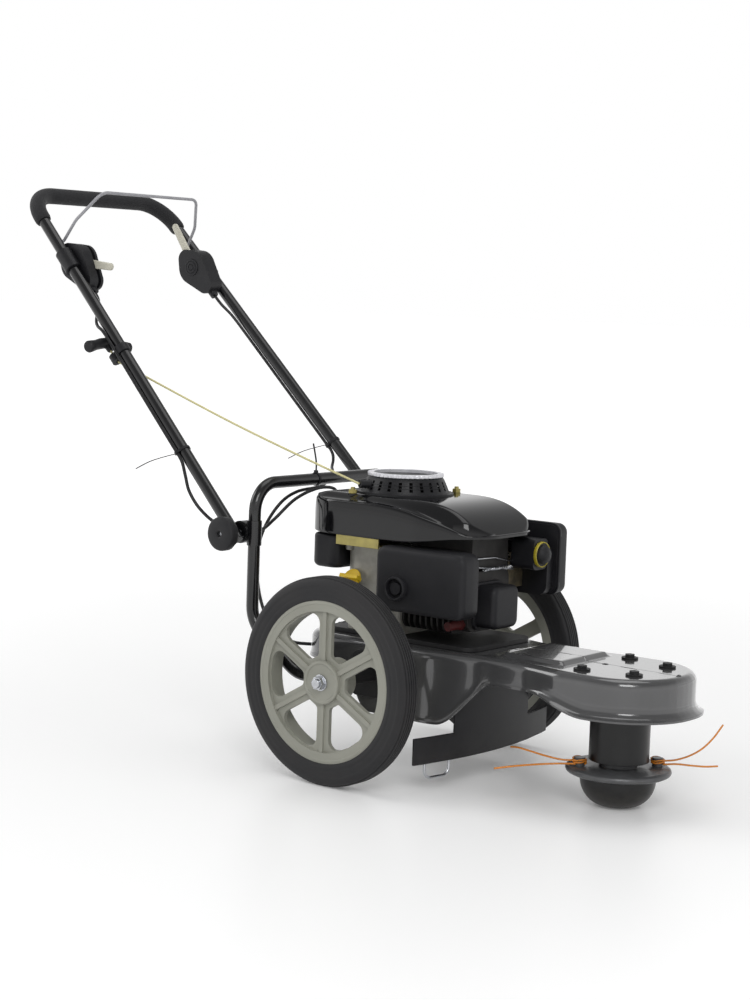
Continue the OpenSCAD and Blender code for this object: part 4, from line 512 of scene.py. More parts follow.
def onHandle(points):
    # flat (u, y) points of the handle's plane as machine points
    p = floats(points)
    x, z = handlePlan["pivot"]
    return np.column_stack([x - diagonal * p[:, 0], p[:, 1], z + diagonal * p[:, 0]])


def legPoint(side, u, out, above):
    # u up one leg, out from the tube's middle, above the handle's plane
    x, z = handlePlan["pivot"]
    return np.array([x + diagonal * (above - u), side * (handleHalf(u) + out), z + diagonal * (above + u)])


def onLeg(side, u, points):
    # local points (up the tube, outboard, down and back) at a place on one leg
    up, out = np.array([-diagonal, 0, diagonal]), np.array([0, side, 0])
    along = up * cos(legTaper) - out * sin(legTaper)
    outward = up * sin(legTaper) + out * cos(legTaper)
    axes = np.array([along, outward, [-diagonal, 0, -diagonal]])
    return legPoint(side, u, 0, 0) + floats(points) @ axes


# Cords: the routes repeat the part's source

cordPlan = dict(
    cable=3.0, rope=2.0, line=1.6, tie=188, hug={-1: 25, 1: 130}, hugGap=0.4, endGap=0.6,
    throttle=[(-377.5, -226.6, 527), (-371, -226, 516.4), (-368, -221, 494), (-361, -217, 466),
        (-340, -210, 436), (-306, -200, 412), (-276, -168, 400), (-246, -150, 404), (-218, -146, 426),
        (-204, -108, 460), (-203, -50, 476), (-206, 0, 474), (-206, 22, 457), (-200, 29.5, 444.6),
        (-190.6, 30, 442)],
    clutch=[(-381, 204.2, 523.5), (-374, 203, 513.6), (-364, 192, 503), (-342, 162, 494), (-300, 112, 488),
        (-248, 20, 474), (-240, -60, 468), (-246, -100, 448), (-262, -122, 405), (-268, -134, 355),
        (-258, -140, 300), (-236, -146, 256), (-208, -144, 222), (-184, -126, 206), (-158.1, -104.4, 203)],
    fixedFrom={"throttle": 8, "clutch": 5}, ropeTop=(427.4, 0, -23), ropeEye=(92, 246, 497), ropeSag=6,
    rightLeave=[(0, -27, -6), (20, -26, -9), (50, -10, -20), (78, 9, -14)],
    leftLeave=[(0, -27, -6), (24, -26, -6), (56, -17.3, -6.6)], hugged=(0.72, 0.4, 0.15, 0), post=66,
    postR=9, lineGap=0.05, discZ=66.5,
    lines=[(-1, 254, 10, [(-66, -70, 10), (-90, -82, 14), (-120, -86, 18), (-146, -80, 18),
        (-168, -70, 14)]), (-1, 264, 4, [(-68, -76, 4), (-94, -100, 2), (-118, -130, 0), (-142, -156, -4)]),
        (1, 10, 10, [(68, 68, 10), (78, 96, 14), (84, 128, 22), (87, 160, 36), (88, 190, 54)]), (1, 0, 4,
        [(72, 66, 4), (86, 90, 0), (98, 116, -4), (107, 142, -6)])])


def hugged(side, own):
    # a cable's place beside its tube
    a = radians(own["hug"][side])
    reach = handlePlan["tube"] + own["cable"] + own["hugGap"]
    return reach * cos(a), -reach * sin(a)


def bendBetween(piece, a, b, start, end):
    # a cord across a joint is taken off its body and set where it stands, so it rides on neither
    piece.parent = None
    del piece["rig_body"]
    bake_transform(piece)


def addCord(name, path, radius, finish, node, body="chassis", ends=None):
    piece = addPiece(name, [swept(path, radius, 14)], finish, [node], body, uv=True)
    if ends:
        bendBetween(piece, "chassis", "handle", *ends)
    2 * radius * 0.001


def makeCords(own):
    for key, side in (("throttle", -1), ("clutch", 1)):
        route = own[key]
        path = curvePath([legPoint(side, own["tie"] - own["endGap"], *hugged(side, own)), *route], 10)
        addCord(key + "Cable", path, own["cable"], "cableSheath", key + "_cable",
                ends=(route[own["fixedFrom"][key]], route[1]))
    top = legPoint(-1, *own["ropeTop"])
    reach, turn, height = own["ropeEye"]
    a = radians(turn)
    eye = np.array([crankX + reach * cos(a), reach * sin(a), height])
    eye = eye + unit(top - eye) * own["endGap"]
    rope = curvePath([top, (top + eye) / 2 - [0, 0, own["ropeSag"]], eye], 24)
    addCord("starterRope", rope, own["rope"], "ropeBraid", "starter_rope",
            ends=(eye, top))
    for k, (side, turn, height, rest) in enumerate(own["lines"]):
        post, a = side * own["post"] * diagonal, radians(turn)
        reach = own["postR"] + own["line"] + own["lineGap"]
        start = (post + reach * cos(a), post + reach * sin(a), height)
        path = curvePath([start, *rest], 10) + [spindleX, 0, own["discZ"]]
        addCord(f"trimLine{k + 1}", path, own["line"], "lineNylon", "trimmer_lines",
                body="trimmer_head")


def makeHeldCables(own):
    # cables along the legs, from the housings' snouts to the ties
    top = podPlan["at"] - podPlan["snout"] * cos(legTaper)
    top = top - podPlan["exit"] * sin(legTaper) - own["endGap"]
    for name, side in sides:
        path = [legPoint(side, top - d, out, above) for d, out, above in own[name + "Leave"]]
        for share in own["hugged"]:
            path.append(legPoint(side, own["tie"] + (top - own["tie"]) * share, *hugged(side, own)))
        cable = swept(curvePath(path, 12), own["cable"], 14)
        addPiece(name + "HandleCable", [cable], "cableSheath", ["handle_cables"], "handle")


makeCords(cordPlan)
makeHeldCables(cordPlan)
print("camera and cords made")

# Wheels

wheelPlan = dict(
    half=246, height=178, steps=144, tread=17.85, grooves=(-14.2, -8.5, -2.85, 2.85, 8.5, 14.2),
    grooveW=1.5, grooveDeep=2.4, grooveSide=0.7,
    crown=[(0, 178), (11.55, 178), (14.5, 176.6), (17.85, 174)],
    flank=[(172, 18.9), (168.5, 20.1), (166, 20.6), (164, 21), (162, 20.6), (160.6, 20.4), (157, 20.7),
        (152, 20.9), (149.6, 20.4), (148.4, 20.4), (146.5, 20.9), (143, 20.2), (140, 19.5), (138.3, 18.8),
        (138.05, 15), (129.05, 14.95)],
    hubRing=[(30.5, 20.6), (31, 21.7), (32, 22.4), (34.5, 22.4), (35.8, 21.8), (36.4, 20.6)],
    rimRing=[(131.5, 18.6), (132.5, 19.6), (135.5, 19.8), (136.8, 19.2), (137, 18.6)])


def tyreProfile(own):
    # crown and shoulders as in the source; each groove takes a smooth bite out of the radius
    h = np.linspace(-own["tread"], own["tread"], 161)
    r = np.interp(np.abs(h), *zip(*own["crown"]))
    for g in own["grooves"]:
        r = r - own["grooveDeep"] * smooth((own["grooveW"] - np.abs(h - g)) / own["grooveSide"])
    flank = np.array(own["flank"])
    return np.vstack([flank[::-1] * [1, -1], np.column_stack([r, h]), flank])


def makeWheels(own):
    profile = tyreProfile(own)
    for name, side in sides:
        at, body = ((0, side * own["half"], own["height"]), (0, side, 0)), name + "_wheel"
        tyre = turned(profile, *at, own["steps"], closed=True)
        addPiece(name + "TyreShown", [tyre], "tyreRubber", [name + "_tyre"], body, angle=50)
        dressAll([(name + "_rim", "rimPlastic", 1.3)], body)
        rings = [turned(own["hubRing"], *at, closed=True), turned(own["rimRing"], *at, 128, closed=True)]
        addPiece(name + "HubRing", rings, "rimPlastic", body=body)


makeWheels(wheelPlan)
print("wheels made")

# Deck: its skirt is a height, then (rise, start, length) of axle leg, arch and nose

deckPlan = dict(
    top=232, round=14, sheet=2.4, step=5,
    corners=[(-175, 128, 70), (120, 128, 60), (205, 104, 70), (300, 104, 70), (370, 118, 60),
        (542, 118, 109.7)],
    skirt=(186, [(-78, -70, 60), (80, 135, 105), (-23, 320, 110)]), lip=(3, 66, 40), noseLip=(11, 300, 110),
    flare=20, hem=[(-1.2, -1.0), (0.1, -0.8), (0.4, 0.4), (-0.2, 1.6)],
    flareShare=[(0.1, 1), (0.3, 0.45), (0.62, 0.12), (1, 0)], pad=(292, 120, 144, 7), padEdge=(3, 8),
    peep=(8.4, 1.2, 390), peepRings=[(0, -0.6), (0, 0.5), (0.9, 0.5), (1.2, -0.4)])


def makeDeck(own):
    # rings up the flared wall, over the rounded rim and in to the deck's long axis
    loop = mirroredLoop(own["corners"], own["step"])
    n = outNormals(loop)
    base, rises = own["skirt"]
    low = eased(base, rises, loop[:, 0])
    lip = eased(eased(0, [own["lip"]], np.abs(loop[:, 0])), [own["noseLip"]], loop[:, 0])
    top, bend, flare = own["top"], own["round"], own["flare"]

    def ring(out, z):
        moved = loop + n * np.broadcast_to(out, len(loop))[:, None]
        return np.column_stack([moved, np.broadcast_to(z, len(loop))])

    rows = [ring(lip + out, low + up) for out, up in own["hem"]]
    shares = np.interp(np.linspace(0.1, 1, 12), *zip(*own["flareShare"]))
    rows += [ring(lip * share, low + flare * rise) for share, rise in zip(shares, np.linspace(0.12, 1, 12))]
    rows += [ring(0, low + flare + (top - bend - low - flare) * t) for t in np.linspace(0.2, 1, 6)]
    rows += [ring(-inset, z) for inset, z in filletRings(0, top, bend, 8)[1:]]
    edge = rows[-1]
    padX, padL, padW, padH = own["pad"]
    wide, slope = own["padEdge"]
    for s in np.linspace(0, 1, 41)[1:]:
        q = edge.copy()
        q[:, 1] = edge[:, 1] * (1 - s)
        along = smooth((padL / 2 + wide - np.abs(q[:, 0] - padX)) / slope)
        q[:, 2] = top + padH * along * smooth((padW / 2 + wide - np.abs(q[:, 1])) / slope)
        rows.append(q)
    shell = [(np.array(rows), False)]
    addPiece("deckPressing", shell, "deckPaint", ["deck_shell"], angle=50, thick=own["sheet"])
    # a small black inset on the deck top: painted shade standing in for the dark of a small hole
    size, corner, x = own["peep"]
    loop = boxLoop(size, size, corner, 1.5)
    peep = pressed(loop, own["peepRings"], (x, 0, top), crown=flatFace, faceRows=2)
    addPiece("deckHoleShade", [peep], "plateBlack")


makeDeck(deckPlan)
dressAll([
    ("engine_plate", "plateBlack", 1.0), ("debris_guard", "flapPlastic", 1.2),
    ("axle_brackets", "plateBlack", 1.0), ("axle_nuts", "brightSteel", 0.6),
    ("axle_rod", "brightSteel", 1.0, "steel"),
])
print("deck made")

# Spindle head

domePlan = dict(
    foot=[(0, 0.4), (17, 0.3)], flat=20, bowl=(43, 46),
    rim=[(63, 48.5), (62.4, 50), (62.4, 51.4), (63, 52.8), (62, 54), (8.2, 54), (8.2, 14), (0, 14)])
knotPlan = dict(turns=2.6, radius=10.75, low=70.6, rise=9, line=1.5, out=(0.5, 3.1), up=(0.6, 2.2))


def makeDome(own):
    # a sine arc from a small flat to an upright rim with a rolled lip
    a = np.linspace(0, pi / 2, 28)
    wide, deep = own["bowl"]
    bowl = np.column_stack([own["flat"] + wide * np.sin(a), deep * (1 - np.cos(a))])
    profile = np.vstack([own["foot"], bowl, own["rim"]])
    dome = turned(profile, (spindleX, 0, 0), upright)
    addPiece("domeShown", [dome], "domePlastic", ["glide_dome"], "dome", angle=30)


def makeKnots(own):
    # line knotted round each post: a helix with a small wobble
    t = np.linspace(0, own["turns"] * 2 * pi, 90)
    wobble, wave = (size * np.sin(rate * t) for size, rate in (own["out"], own["up"]))
    r = own["radius"] + wobble
    z = own["low"] + own["rise"] * t / t[-1] + wave
    knots = []
    for side in (-1, 1):
        post = side * cordPlan["post"] * diagonal
        path = np.column_stack([spindleX + post + r * np.cos(t), post + r * np.sin(t), z])
        knots.append(swept(path, own["line"], 10))
    addPiece("lineKnots", knots, "lineNylon", body="trimmer_head", uv=True)


dressAll([("spindle_housing", "domePlastic", 0.8, "black_paint"), ("spindle_bolts", "plateBlack", 0.7)])
dressAll([("line_disc", "discPaint", 0.7)], "trimmer_head")
makeDome(domePlan)
makeKnots(knotPlan)
print("spindle head made")

# Engine: the cowl's wall is (share of its height, inset)

cowlPlan = dict(
    corners=[(-190, 122, 85), (88, 122, 120), (193, 88, 70)], low=410, lowRise=(14, 140), hump=480,
    creaseMin=6, creaseDrop=(10, 46, 220), humpDrop=(56, 155), shoulder=(0.9, 122, 0.22), tail=(190, 50),
    edgeIn=5, fan=70, sheet=2.2, step=4, sweep=38, crease=-42,
    wall=[(0, 1.6), (-0.012, 0.6), (0.01, 0), (0.05, 0), (0.2, 0), (0.4, 0), (0.6, 0), (0.74, 0.15),
        (0.84, 0.5), (0.91, 1.1), (0.955, 1.9), (0.982, 2.9), (0.996, 3.9)],
    pillarAt=(100, (60, 120, 240)),
    pillar=[(0, 392), (9, 392), (9, 477), (8.4, 479.6), (7.6, 480), (4.2, 480), (4.2, 476), (0, 476)])


def cowlLow(x):
    rise, length = cowlPlan["lowRise"]
    return cowlPlan["low"] + rise * smooth((x - cowlPlan["sweep"]) / length)


def cowlCrease(x):
    # level at the back, then falling by a power of the way forward
    step, drop, length = cowlPlan["creaseDrop"]
    fall = drop * (np.maximum(x - cowlPlan["crease"], 0) / length) ** 2.2
    return np.maximum(cowlLow(x) + cowlPlan["creaseMin"], cowlPlan["hump"] - step - fall)


def cowlTop(x, y):
    # the crease, and a broad hump between its shoulders that falls by a cube
    drop, length = cowlPlan["humpDrop"]
    hump = cowlPlan["hump"] - drop * (np.maximum(x - cowlPlan["sweep"], 0) / length) ** 3
    share, half, slope = cowlPlan["shoulder"]
    back, ease = cowlPlan["tail"]
    raised = smooth((share - np.abs(y) / half) / slope) * smooth((x + back) / ease)
    return cowlCrease(x) + (hump - cowlCrease(x)) * raised


def makeCowl(own):
    # rings up the wall and over the crease, then in to a circle round the starter
    loop = mirroredLoop(own["corners"], own["step"])
    n = outNormals(loop)
    hub = np.array([crankX, 0])
    rows = []
    for share, inset in own["wall"]:
        p = loop - n * inset
        low = cowlLow(p[:, 0])
        rows.append(np.column_stack([p, low + (cowlCrease(p[:, 0]) - low) * share]))
    edge = loop - n * own["edgeIn"]
    rim = hub + unit(edge - hub) * own["fan"]
    for share in np.linspace(0, 1, 44):
        q = edge + (rim - edge) * share
        rows.append(np.column_stack([q, cowlTop(q[:, 0], q[:, 1])]))
    addPiece("cowlShown", [(np.array(rows), False)], "cowlGloss", ["cowl"], angle=60, thick=own["sheet"])
    reach, turns = own["pillarAt"]
    spots = [(crankX + reach * cos(radians(a)), reach * sin(radians(a)), 0) for a in turns]
    pillars = [turned(own["pillar"], spot, upright, 40) for spot in spots]
    addPiece("cowlPillars", pillars, "cowlGloss", angle=30)


makeCowl(cowlPlan)
dressAll([
    ("cowl_studs", "yellowZinc", 0.5), ("starter_housing", "mouldedBlack", 0.5),
    ("starter_crown", "crownSilver", 0.5), ("crankcase", "castAlloy", 2.0),
    # the cylinder block takes the alloy darkened as painted shade
    ("cylinder_block", "finAlloy", 0.5), ("muffler", "mufflerSteel", 3.0), ("carburettor", "brass", 0.8),
    ("brake_bracket", "yellowZinc", 0.5), ("air_cleaner_base", "mouldedBlack", 1.6),
    ("spark_plug", "bootRed", 0.7),
])

linkPlan = dict(
    rods=[[(128, -60, 384), (154, -58, 386), (154, 10, 384), (152, 66, 372)],
        [(132, -58.5, 372), (157, -57, 372), (157, 62, 360)]],
    rod=1.3, bend=8, spring=(158, -30, 366), springL=84, springR=3, turns=15, wire=0.7)


def makeLinks(own):
    # governor links: two bent rods and a spring, a helix along a line
    links = [swept(bentPath(rod, own["bend"], 2), own["rod"], 10) for rod in own["rods"]]
    t = np.linspace(0, 1, 220)
    a, r = own["turns"] * 2 * pi * t, own["springR"]
    coil = np.array(own["spring"]) + np.column_stack([r * np.cos(a), own["springL"] * t, r * np.sin(a)])
    addPiece("governorLinks", [*links, swept(coil, own["wire"], 8)], "brightSteel", slot="steel")


hoopPlan = dict(levels=(493.2, 498.6), low=483, high=506, wide=79, flare=10, sink=0.9, wire=(1.3, 1.0))


def makeScreenRings(own):
    # two thin hoops across the starter's slots
    hoops = []
    for z in own["levels"]:
        r = own["wide"] - own["flare"] * (z - own["low"]) / (own["high"] - own["low"]) - own["sink"]
        wide, tall = own["wire"]
        turns = np.linspace(0, 2 * pi, 8, endpoint=False)
        hoop = [(r + wide * cos(a), z + tall * sin(a)) for a in turns]
        hoops.append(turned(hoop, (crankX, 0, 0), upright, 128, closed=True))
    addPiece("starterHoops", hoops, "mouldedBlack")


guardPlan = dict(
    box=(188, 112, 18, 4), at=(98, -92, 346), looks="right", rings=[(3, 0), (0.4, 0), (0, 0.6), (0, 18)],
    fillet=(0, 44, 10, 8), bossAt=(54, -92, 332),
    boss=[(21.6, 43), (21.4, 48), (20.6, 52.4), (19.4, 54), (17.8, 54), (17, 53.2), (16.6, 45),
        (11.4, 44.6), (11, 49.2), (10.4, 50), (0, 50)])


def makeGuard(own):
    # pressed cover with a wide fillet, a flat face and a stepped boss
    boss = turned(own["boss"], own["bossAt"], (0, -1, 0), 72)
    addPiece("mufflerGuardShown", [boxCover(own), boss], "guardBlack", ["muffler_guard"])


fillerPlan = dict(
    at=(-132, 114, 366), axis=(0, 0.906, 0.423),
    neck=[(9.1, 4), (14, -8), (14, 12), (13.2, 13.6), (10, 14), (9.1, 13.4)],
    cap=[(0, 4.4), (9, 4.4), (9, 14.4), (19.4, 14.4), (19.9, 15.4), (19.9, 22), (19.2, 23.4), (17, 24),
        (16.8, 27), (15.6, 28.4), (9, 28.2), (0, 28.4)],
    knurl=(0.025, 14, 18, 24.5))
tankPlan = dict(box=(64, 228, 22, 4), at=(-130, 0, 346), looks="up", underRound=10, fillet=(0, 60, 6))


def makeTank(own, filler):
    # rounded block with a fillet at both ends, and the filler's neck
    r = own["underRound"]
    under = [(r - r * sin(a), r - r * cos(a)) for a in np.linspace(0, pi / 2, 7)]
    body = boxCover({**own, "rings": under})
    sole = pressed(boxLoop(*own["box"]), [(r, 0)], own["at"], crown=flatFace)
    neck = turned(filler["neck"], filler["at"], filler["axis"], 48, closed=True)
    addPiece("tankShown", [body, sole, neck], "mouldedBlack", ["fuel_tank"])


def makeCap(filler):
    # turned cap with square ridges round its skirt
    deep, count, inner, high = filler["knurl"]

    def knurl(a, p):
        return 1 + deep * np.sign(np.sin(count * a)) * ((p[:, :1] > inner) & (p[:, 1:2] < high))

    cap = turned(filler["cap"], filler["at"], filler["axis"], 112, knurl)
    addPiece("fuelCapShown", [cap], "mouldedBlack", ["fuel_cap"], "fuel_filler_cap", angle=30)


rockerPlan = dict(
    box=(76, 74, 14, 3), at=(150, -7, 303), looks="front", rings=[(0, 5), (0, 30)], fillet=(0, 44, 9),
    flange=(84, 82, 14, 3), flangeRings=[(0, 0), (0, 4.8), (0.4, 5.7), (1.2, 6), (5, 6)])


def makeRockerCover(own):
    # a flange and a box on the cylinder's end
    flange = pressed(boxLoop(*own["flange"]), own["flangeRings"], own["at"], own["looks"])
    addPiece("rockerShown", [flange, boxCover(own)], "guardBlack", ["rocker_cover"])


airPlan = dict(
    box=(134, 128, 18, 3), at=(143, 126.05, 376), looks="left", fillet=(1.4, 32, 11, 8),
    rings=[(6, 0), (0.4, 0), (0, 0.5), (0, 5), (0.6, 5.6), (1.4, 6.2), (1.4, 12)], panel=(-2.4, 44, 42, 6),
    ribs=(-22, 0, 22), rib=(1.8, 3, 2, 34, 4))


def makeAirCover(own):
    # moulded lid with a broad fillet, a sunk panel and three raised ribs
    sunk, panelX, panelY, ease = own["panel"]
    high, ribX, ribEase, ribY, endEase = own["rib"]

    def crown(x, y):
        panel = sunk * smooth((panelX - np.abs(x)) / ease) * smooth((panelY - np.abs(y)) / ease)
        ends = smooth((ribY - np.abs(y)) / endEase)
        return panel + high * sum(smooth((ribX - np.abs(x - c)) / ribEase) * ends for c in own["ribs"])

    lid = boxCover(own, crown, 46)
    addPiece("airCoverShown", [lid], "mouldedBlack", ["air_cleaner_cover"], slot="gloss_black", angle=45)


primerPlan = dict(
    at=(198, 84, 388), radius=17, dome=(5, 14), foot=-2,
    ring=[(20, 4.6), (20.3, 5.6), (21, 6.1), (21.8, 6.0), (22.4, 5.2), (22.6, 4), (22.6, 1), (22.1, 0)],
    bezel=[(17.3, 0.5), (17.3, 4.6), (17.9, 5.3), (19.4, 5.4), (20.1, 4.9), (20.1, 0.5)])


def makePrimer(own):
    # bulb: a quarter ellipse turned round, in a yellow ring and a black bezel
    at, r = (own["at"], (1, 0, 0)), own["radius"]
    a = np.linspace(0, pi / 2, 14)
    low, high = own["dome"]
    dome = np.column_stack([r * np.cos(a), low + high * np.sin(a)])
    bulb = np.vstack([[(0, own["foot"]), (r, own["foot"])], dome])
    addPiece("primerShown", [turned(bulb, *at, 64)], "softBlack", ["primer_bulb"], "primer")
    addPiece("primerRing", [turned(own["ring"], *at, 72)], "primerYellow")
    addPiece("primerBezel", [turned(own["bezel"], *at, 72, closed=True)], "mouldedBlack")


makeLinks(linkPlan)
makeScreenRings(hoopPlan)
makeGuard(guardPlan)
makeTank(tankPlan, fillerPlan)
makeRockerCover(rockerPlan)
makeAirCover(airPlan)
makePrimer(primerPlan)
makeCap(fillerPlan)
dressAll([("oil_plug", "oilYellow", 1.4)], "oil_filler_plug")
print("engine made")

# Handle

lowerPlan = dict(
    post=-222, half=195, tube=11, bar=491, barBend=50, split=400, leg=[(0, 178), (-112, 166), (-222, 245)],
    legBend=60)


def makeLowerHandle(own):
    # one bent tube: up from the axle, over the bar and down to the axle again
    half, split, bar = own["half"], own["split"], own["bar"]
    side = bentPath(own["leg"] + [(own["post"], split)], own["legBend"])
    arch = bentPath([(-half, split), (-half, bar), (half, bar), (half, split)], own["barBend"])
    right = np.column_stack([side[:, 0], np.full(len(side), -half), side[:, 1]])
    over = np.column_stack([np.full(len(arch), own["post"]), arch])
    path = np.vstack([right[:-1], over, (right[::-1] * [1, -1, 1])[1:]])
    addPiece("lowerTube", [swept(path, own["tube"], 28)], "tubePaint", ["lower_handle"])


def makeUpperHandle(own):
    # a bent tube, and foam whose radius wavers a little and rounds off at both ends
    length, half, foam = own["length"], own["topHalf"], own["foam"]

    def hoop(low, step):
        flat = [(low, -handleHalf(low)), (length, -half), (length, half), (low, handleHalf(low))]
        return onHandle(bentPath(flat, own["bend"], step))

    tube = swept(hoop(own["end"], 5), own["tube"], 28)
    addPiece("upperTube", [tube], "tubePaint", ["upper_handle"], "handle")
    path = hoop(own["foamFrom"], 3)
    t = np.arange(len(path))
    fromEnd = np.minimum(t, len(path) - 1 - t)
    (drop, rows, ease), (waver, quick, slow) = own["foamEnd"], own["foamWaver"]
    r = foam - drop * smooth((rows - fromEnd) / ease) + waver * np.sin(t * quick) * np.sin(t * slow)
    sleeve = swept(path, np.minimum(r, foam), 36)
    addPiece("foamShown", [sleeve], "foamCells", ["foam_grip"], "handle")


bailPlan = dict(
    at=716, lean=78, wire=3, tube=11, gap=6, reach=(50, 115), half=130, bends=[6, 40, 24, 24, 40, 6])


def makeBail(own):
    # wire loop in its own plane, leaning up from the housings
    lean = radians(own["lean"])
    base = legPoint(1, own["at"], 0, 0)
    foot = base[1] - own["tube"] - own["gap"]
    near, far = own["reach"]
    half = [(0, -foot - own["tube"]), (0, -foot), (near, own["gap"] - foot), (far, -own["half"])]
    flat = bentPath(half + [(x, -y) for x, y in half[::-1]], own["bends"], 2)
    upLeg, out = np.array([-diagonal, 0, diagonal]), np.array([diagonal, 0, diagonal])
    along = upLeg * cos(lean) + out * sin(lean)
    path = base * [1, 0, 1] + flat[:, :1] * along + flat[:, 1:] * np.array([0, 1, 0])
    addPiece("bailShown", [swept(path, own["wire"], 16)], "bailGrey", ["bail"], "bail_bar")


knobPlan = dict(
    at=(-246, 234.3, 404), lobes=8, deep=0.09, lobeTop=(13, 8), hub=10,
    profile=[(5.06, 21), (5.06, 0), (19.4, 0), (20.4, 1), (27.6, 6.6), (29.4, 8.6), (30, 11), (30, 22),
        (29.4, 24), (28, 25.6), (24, 26.9), (16, 27.7), (8, 28), (6.4, 27.7), (5.06, 26.6)])


def makeKnobs(own):
    # mushroom knob: a flared foot and a shallow dome, its skirt cut by smooth lobes
    x, y, z = own["at"]
    top, ease = own["lobeTop"]

    def lobes(a, p):
        cut = (0.5 + 0.5 * np.cos(own["lobes"] * a)) ** 2
        return 1 - own["deep"] * cut * smooth((top - p[:, 1:2]) / ease) * (p[:, :1] > own["hub"])

    for name, side in sides:
        knob = turned(own["profile"], (x, side * y, z), (0, side, 0), 128, lobes, closed=True)
        addPiece(name + "KnobShown", [knob], "softBlack", [name + "_knob"], name + "_pivot_knob", angle=30)


gripPlan = dict(
    at=478, below=25, bar=[(-14, -52.6), (0, 0), (-14, 52.6)], bend=60, neck=(-22, -1),
    neckR=[(0, 4.6), (0.1, 6.2), (0.5, 6.8), (1, 10.4)], cord=(-33.4, -20), radius=(10.2, 1.2),
    swell=(0.9, 0.55, 0.18), tip=(2.5, 0.95, 0.05))


def makeGrip(own):
    # pull handle: a drooping bar, slimmer at the fingers and thicker outwards, and a flared neck
    bar = bentPath(own["bar"], own["bend"], 1.6)
    t = np.abs(np.linspace(-1, 1, len(bar)))
    path = onLeg(-1, own["at"], np.column_stack([bar, np.full(len(bar), own["below"])]))
    (slim, ends), (waist, at, wide), (tip, start, length) = own["radius"], own["swell"], own["tip"]
    r = slim + ends * t ** 2 - waist * np.exp(-((t - at) / wide) ** 2) - tip * smooth((t - start) / length)

    def straight(span, count):
        along = np.linspace(*span, count)
        return onLeg(-1, own["at"], np.column_stack([along, 0 * along, 0 * along + own["below"]]))

    neckR = np.interp(np.linspace(0, 1, 12), *zip(*own["neckR"]))
    neck = swept(straight(own["neck"], 12), neckR, 24)
    addPiece("gripShown", [swept(path, r, 28), neck], "mouldedBlack", ["starter_grip"], "starter")
    path = straight(own["cord"], 6)
    cord = addPiece("gripCord", [swept(path, cordPlan["rope"], 12)], "ropeBraid", body="starter", uv=True)
    bendBetween(cord, "handle", "starter", path[0], path[-1])  # the cord rides on neither body


dialProfile = [
    (17, -0.6), (17, 0.9), (16.4, 1.6), (13.4, 2.0), (12.8, 1.2), (11.6, 1.2), (11, 2.2), (7.4, 2.6),
    (6.8, 1.6), (5.6, 1.6), (5, 2.6), (0, 2.8),
]


def makeDials(own):
    # stepped cap on each pod's inner face
    for name, side in sides:
        near, far = onLeg(side, own["at"], [(0, -own["face"], 0), (0, -own["face"] - 1, 0)])
        dial = turned(dialProfile, near, far - near, 72)
        addPiece(name + "PodDial", [dial], "guardBlack", body="handle", angle=28)


tiePlan = dict(
    at=190, out=11.5, above=-7, tail=[(0, 0, 0), (-22, 4, -6), (-58, 10, -18), (-92, 12, -34)],
    head=[(3, 0, 2), (-4, 0, -1)], barAt=(-222, -30, 491),
    band=[(11.05, -2.4), (11.05, 2.4), (12.4, 2.2), (12.4, -2.2)],
    barTail=[(-222, -30, 503), (-221, -31, 520), (-223, -33, 538), (-227, -34, 556)],
    barHead=[(-222, -30, 500.5), (-222, -30, 507)], strap=(1.5, 0.45), box=3.0)


def makeTies(own):
    # cable ties: each tail is a flat strap on a curve; the bar's has a band round the tube
    square = np.array([(1.0, 1.0), (-1.0, 1.0), (-1.0, -1.0), (1.0, -1.0)])
    half, flat = own["strap"]

    def tie(tail, head):
        return [swept(curvePath(tail, 8), half, section=square * [1, flat]),
                swept(head, own["box"], section=square)]

    for name, side in sides:
        start = legPoint(side, own["at"], -side * own["out"], own["above"])
        tail, head = (np.array(own[key]) * [1, -1, 1] + start for key in ("tail", "head"))
        addPiece(name + "TieTail", tie(tail, head), "mouldedBlack", (), "handle", "cable", 30)
    band = turned(own["band"], own["barAt"], (0, 1, 0), 48, closed=True)
    barTie = [band, *tie(own["barTail"], own["barHead"])]
    addPiece("barTie", barTie, "mouldedBlack", slot="cable", angle=30)


skidPlan = dict(
    guard=(176, 26, 200), strip=(110, 175), inset=32, sheet=4, gap=2.55, y=-142, wire=2.5,
    loop=[(-28, 84), (-28, 24), (28, 24), (28, 84)], bend=14)


def makeSkid(own):
    # bent wire along the strip of the bowed guard that it hangs behind
    front, bow, half = own["guard"]
    near, far = own["strip"]
    nearX, farX = (front - bow * (y / half) ** 2 for y in (near, far))
    slope = (nearX - farX) / (far - near)
    slant = atan(slope)
    x = nearX - slope * own["inset"] - own["sheet"] - own["gap"] / cos(slant)
    flat = bentPath(own["loop"], own["bend"], 2.5)
    side = np.array([sin(slant), cos(slant), 0])
    path = np.array([x, own["y"], 0]) + flat[:, :1] * side + flat[:, 1:] * np.array(upright)
    addPiece("skidShown", [swept(path, own["wire"], 16)], "brightSteel", ["skid_wire"])


makeLowerHandle(lowerPlan)
makeUpperHandle(handlePlan)
makeBail(bailPlan)
makeKnobs(knobPlan)
makeGrip(gripPlan)
makeDials(podPlan)
makeTies(tiePlan)
dressAll([("pivot_brackets", "tubePaint", 1.2), ("pivot_bolts", "brightSteel", 0.5)])
dressAll([("control_housings", "mouldedBlack", 2.0), ("handle_clips", "mouldedBlack", 0.4)], "handle")
for lever in ("throttle", "clutch"):
    dressAll([(lever + "_lever", "leverIvory", 1.6)], lever)
makeSkid(skidPlan)
print("handle and skid made")

# Nodes shown as they are

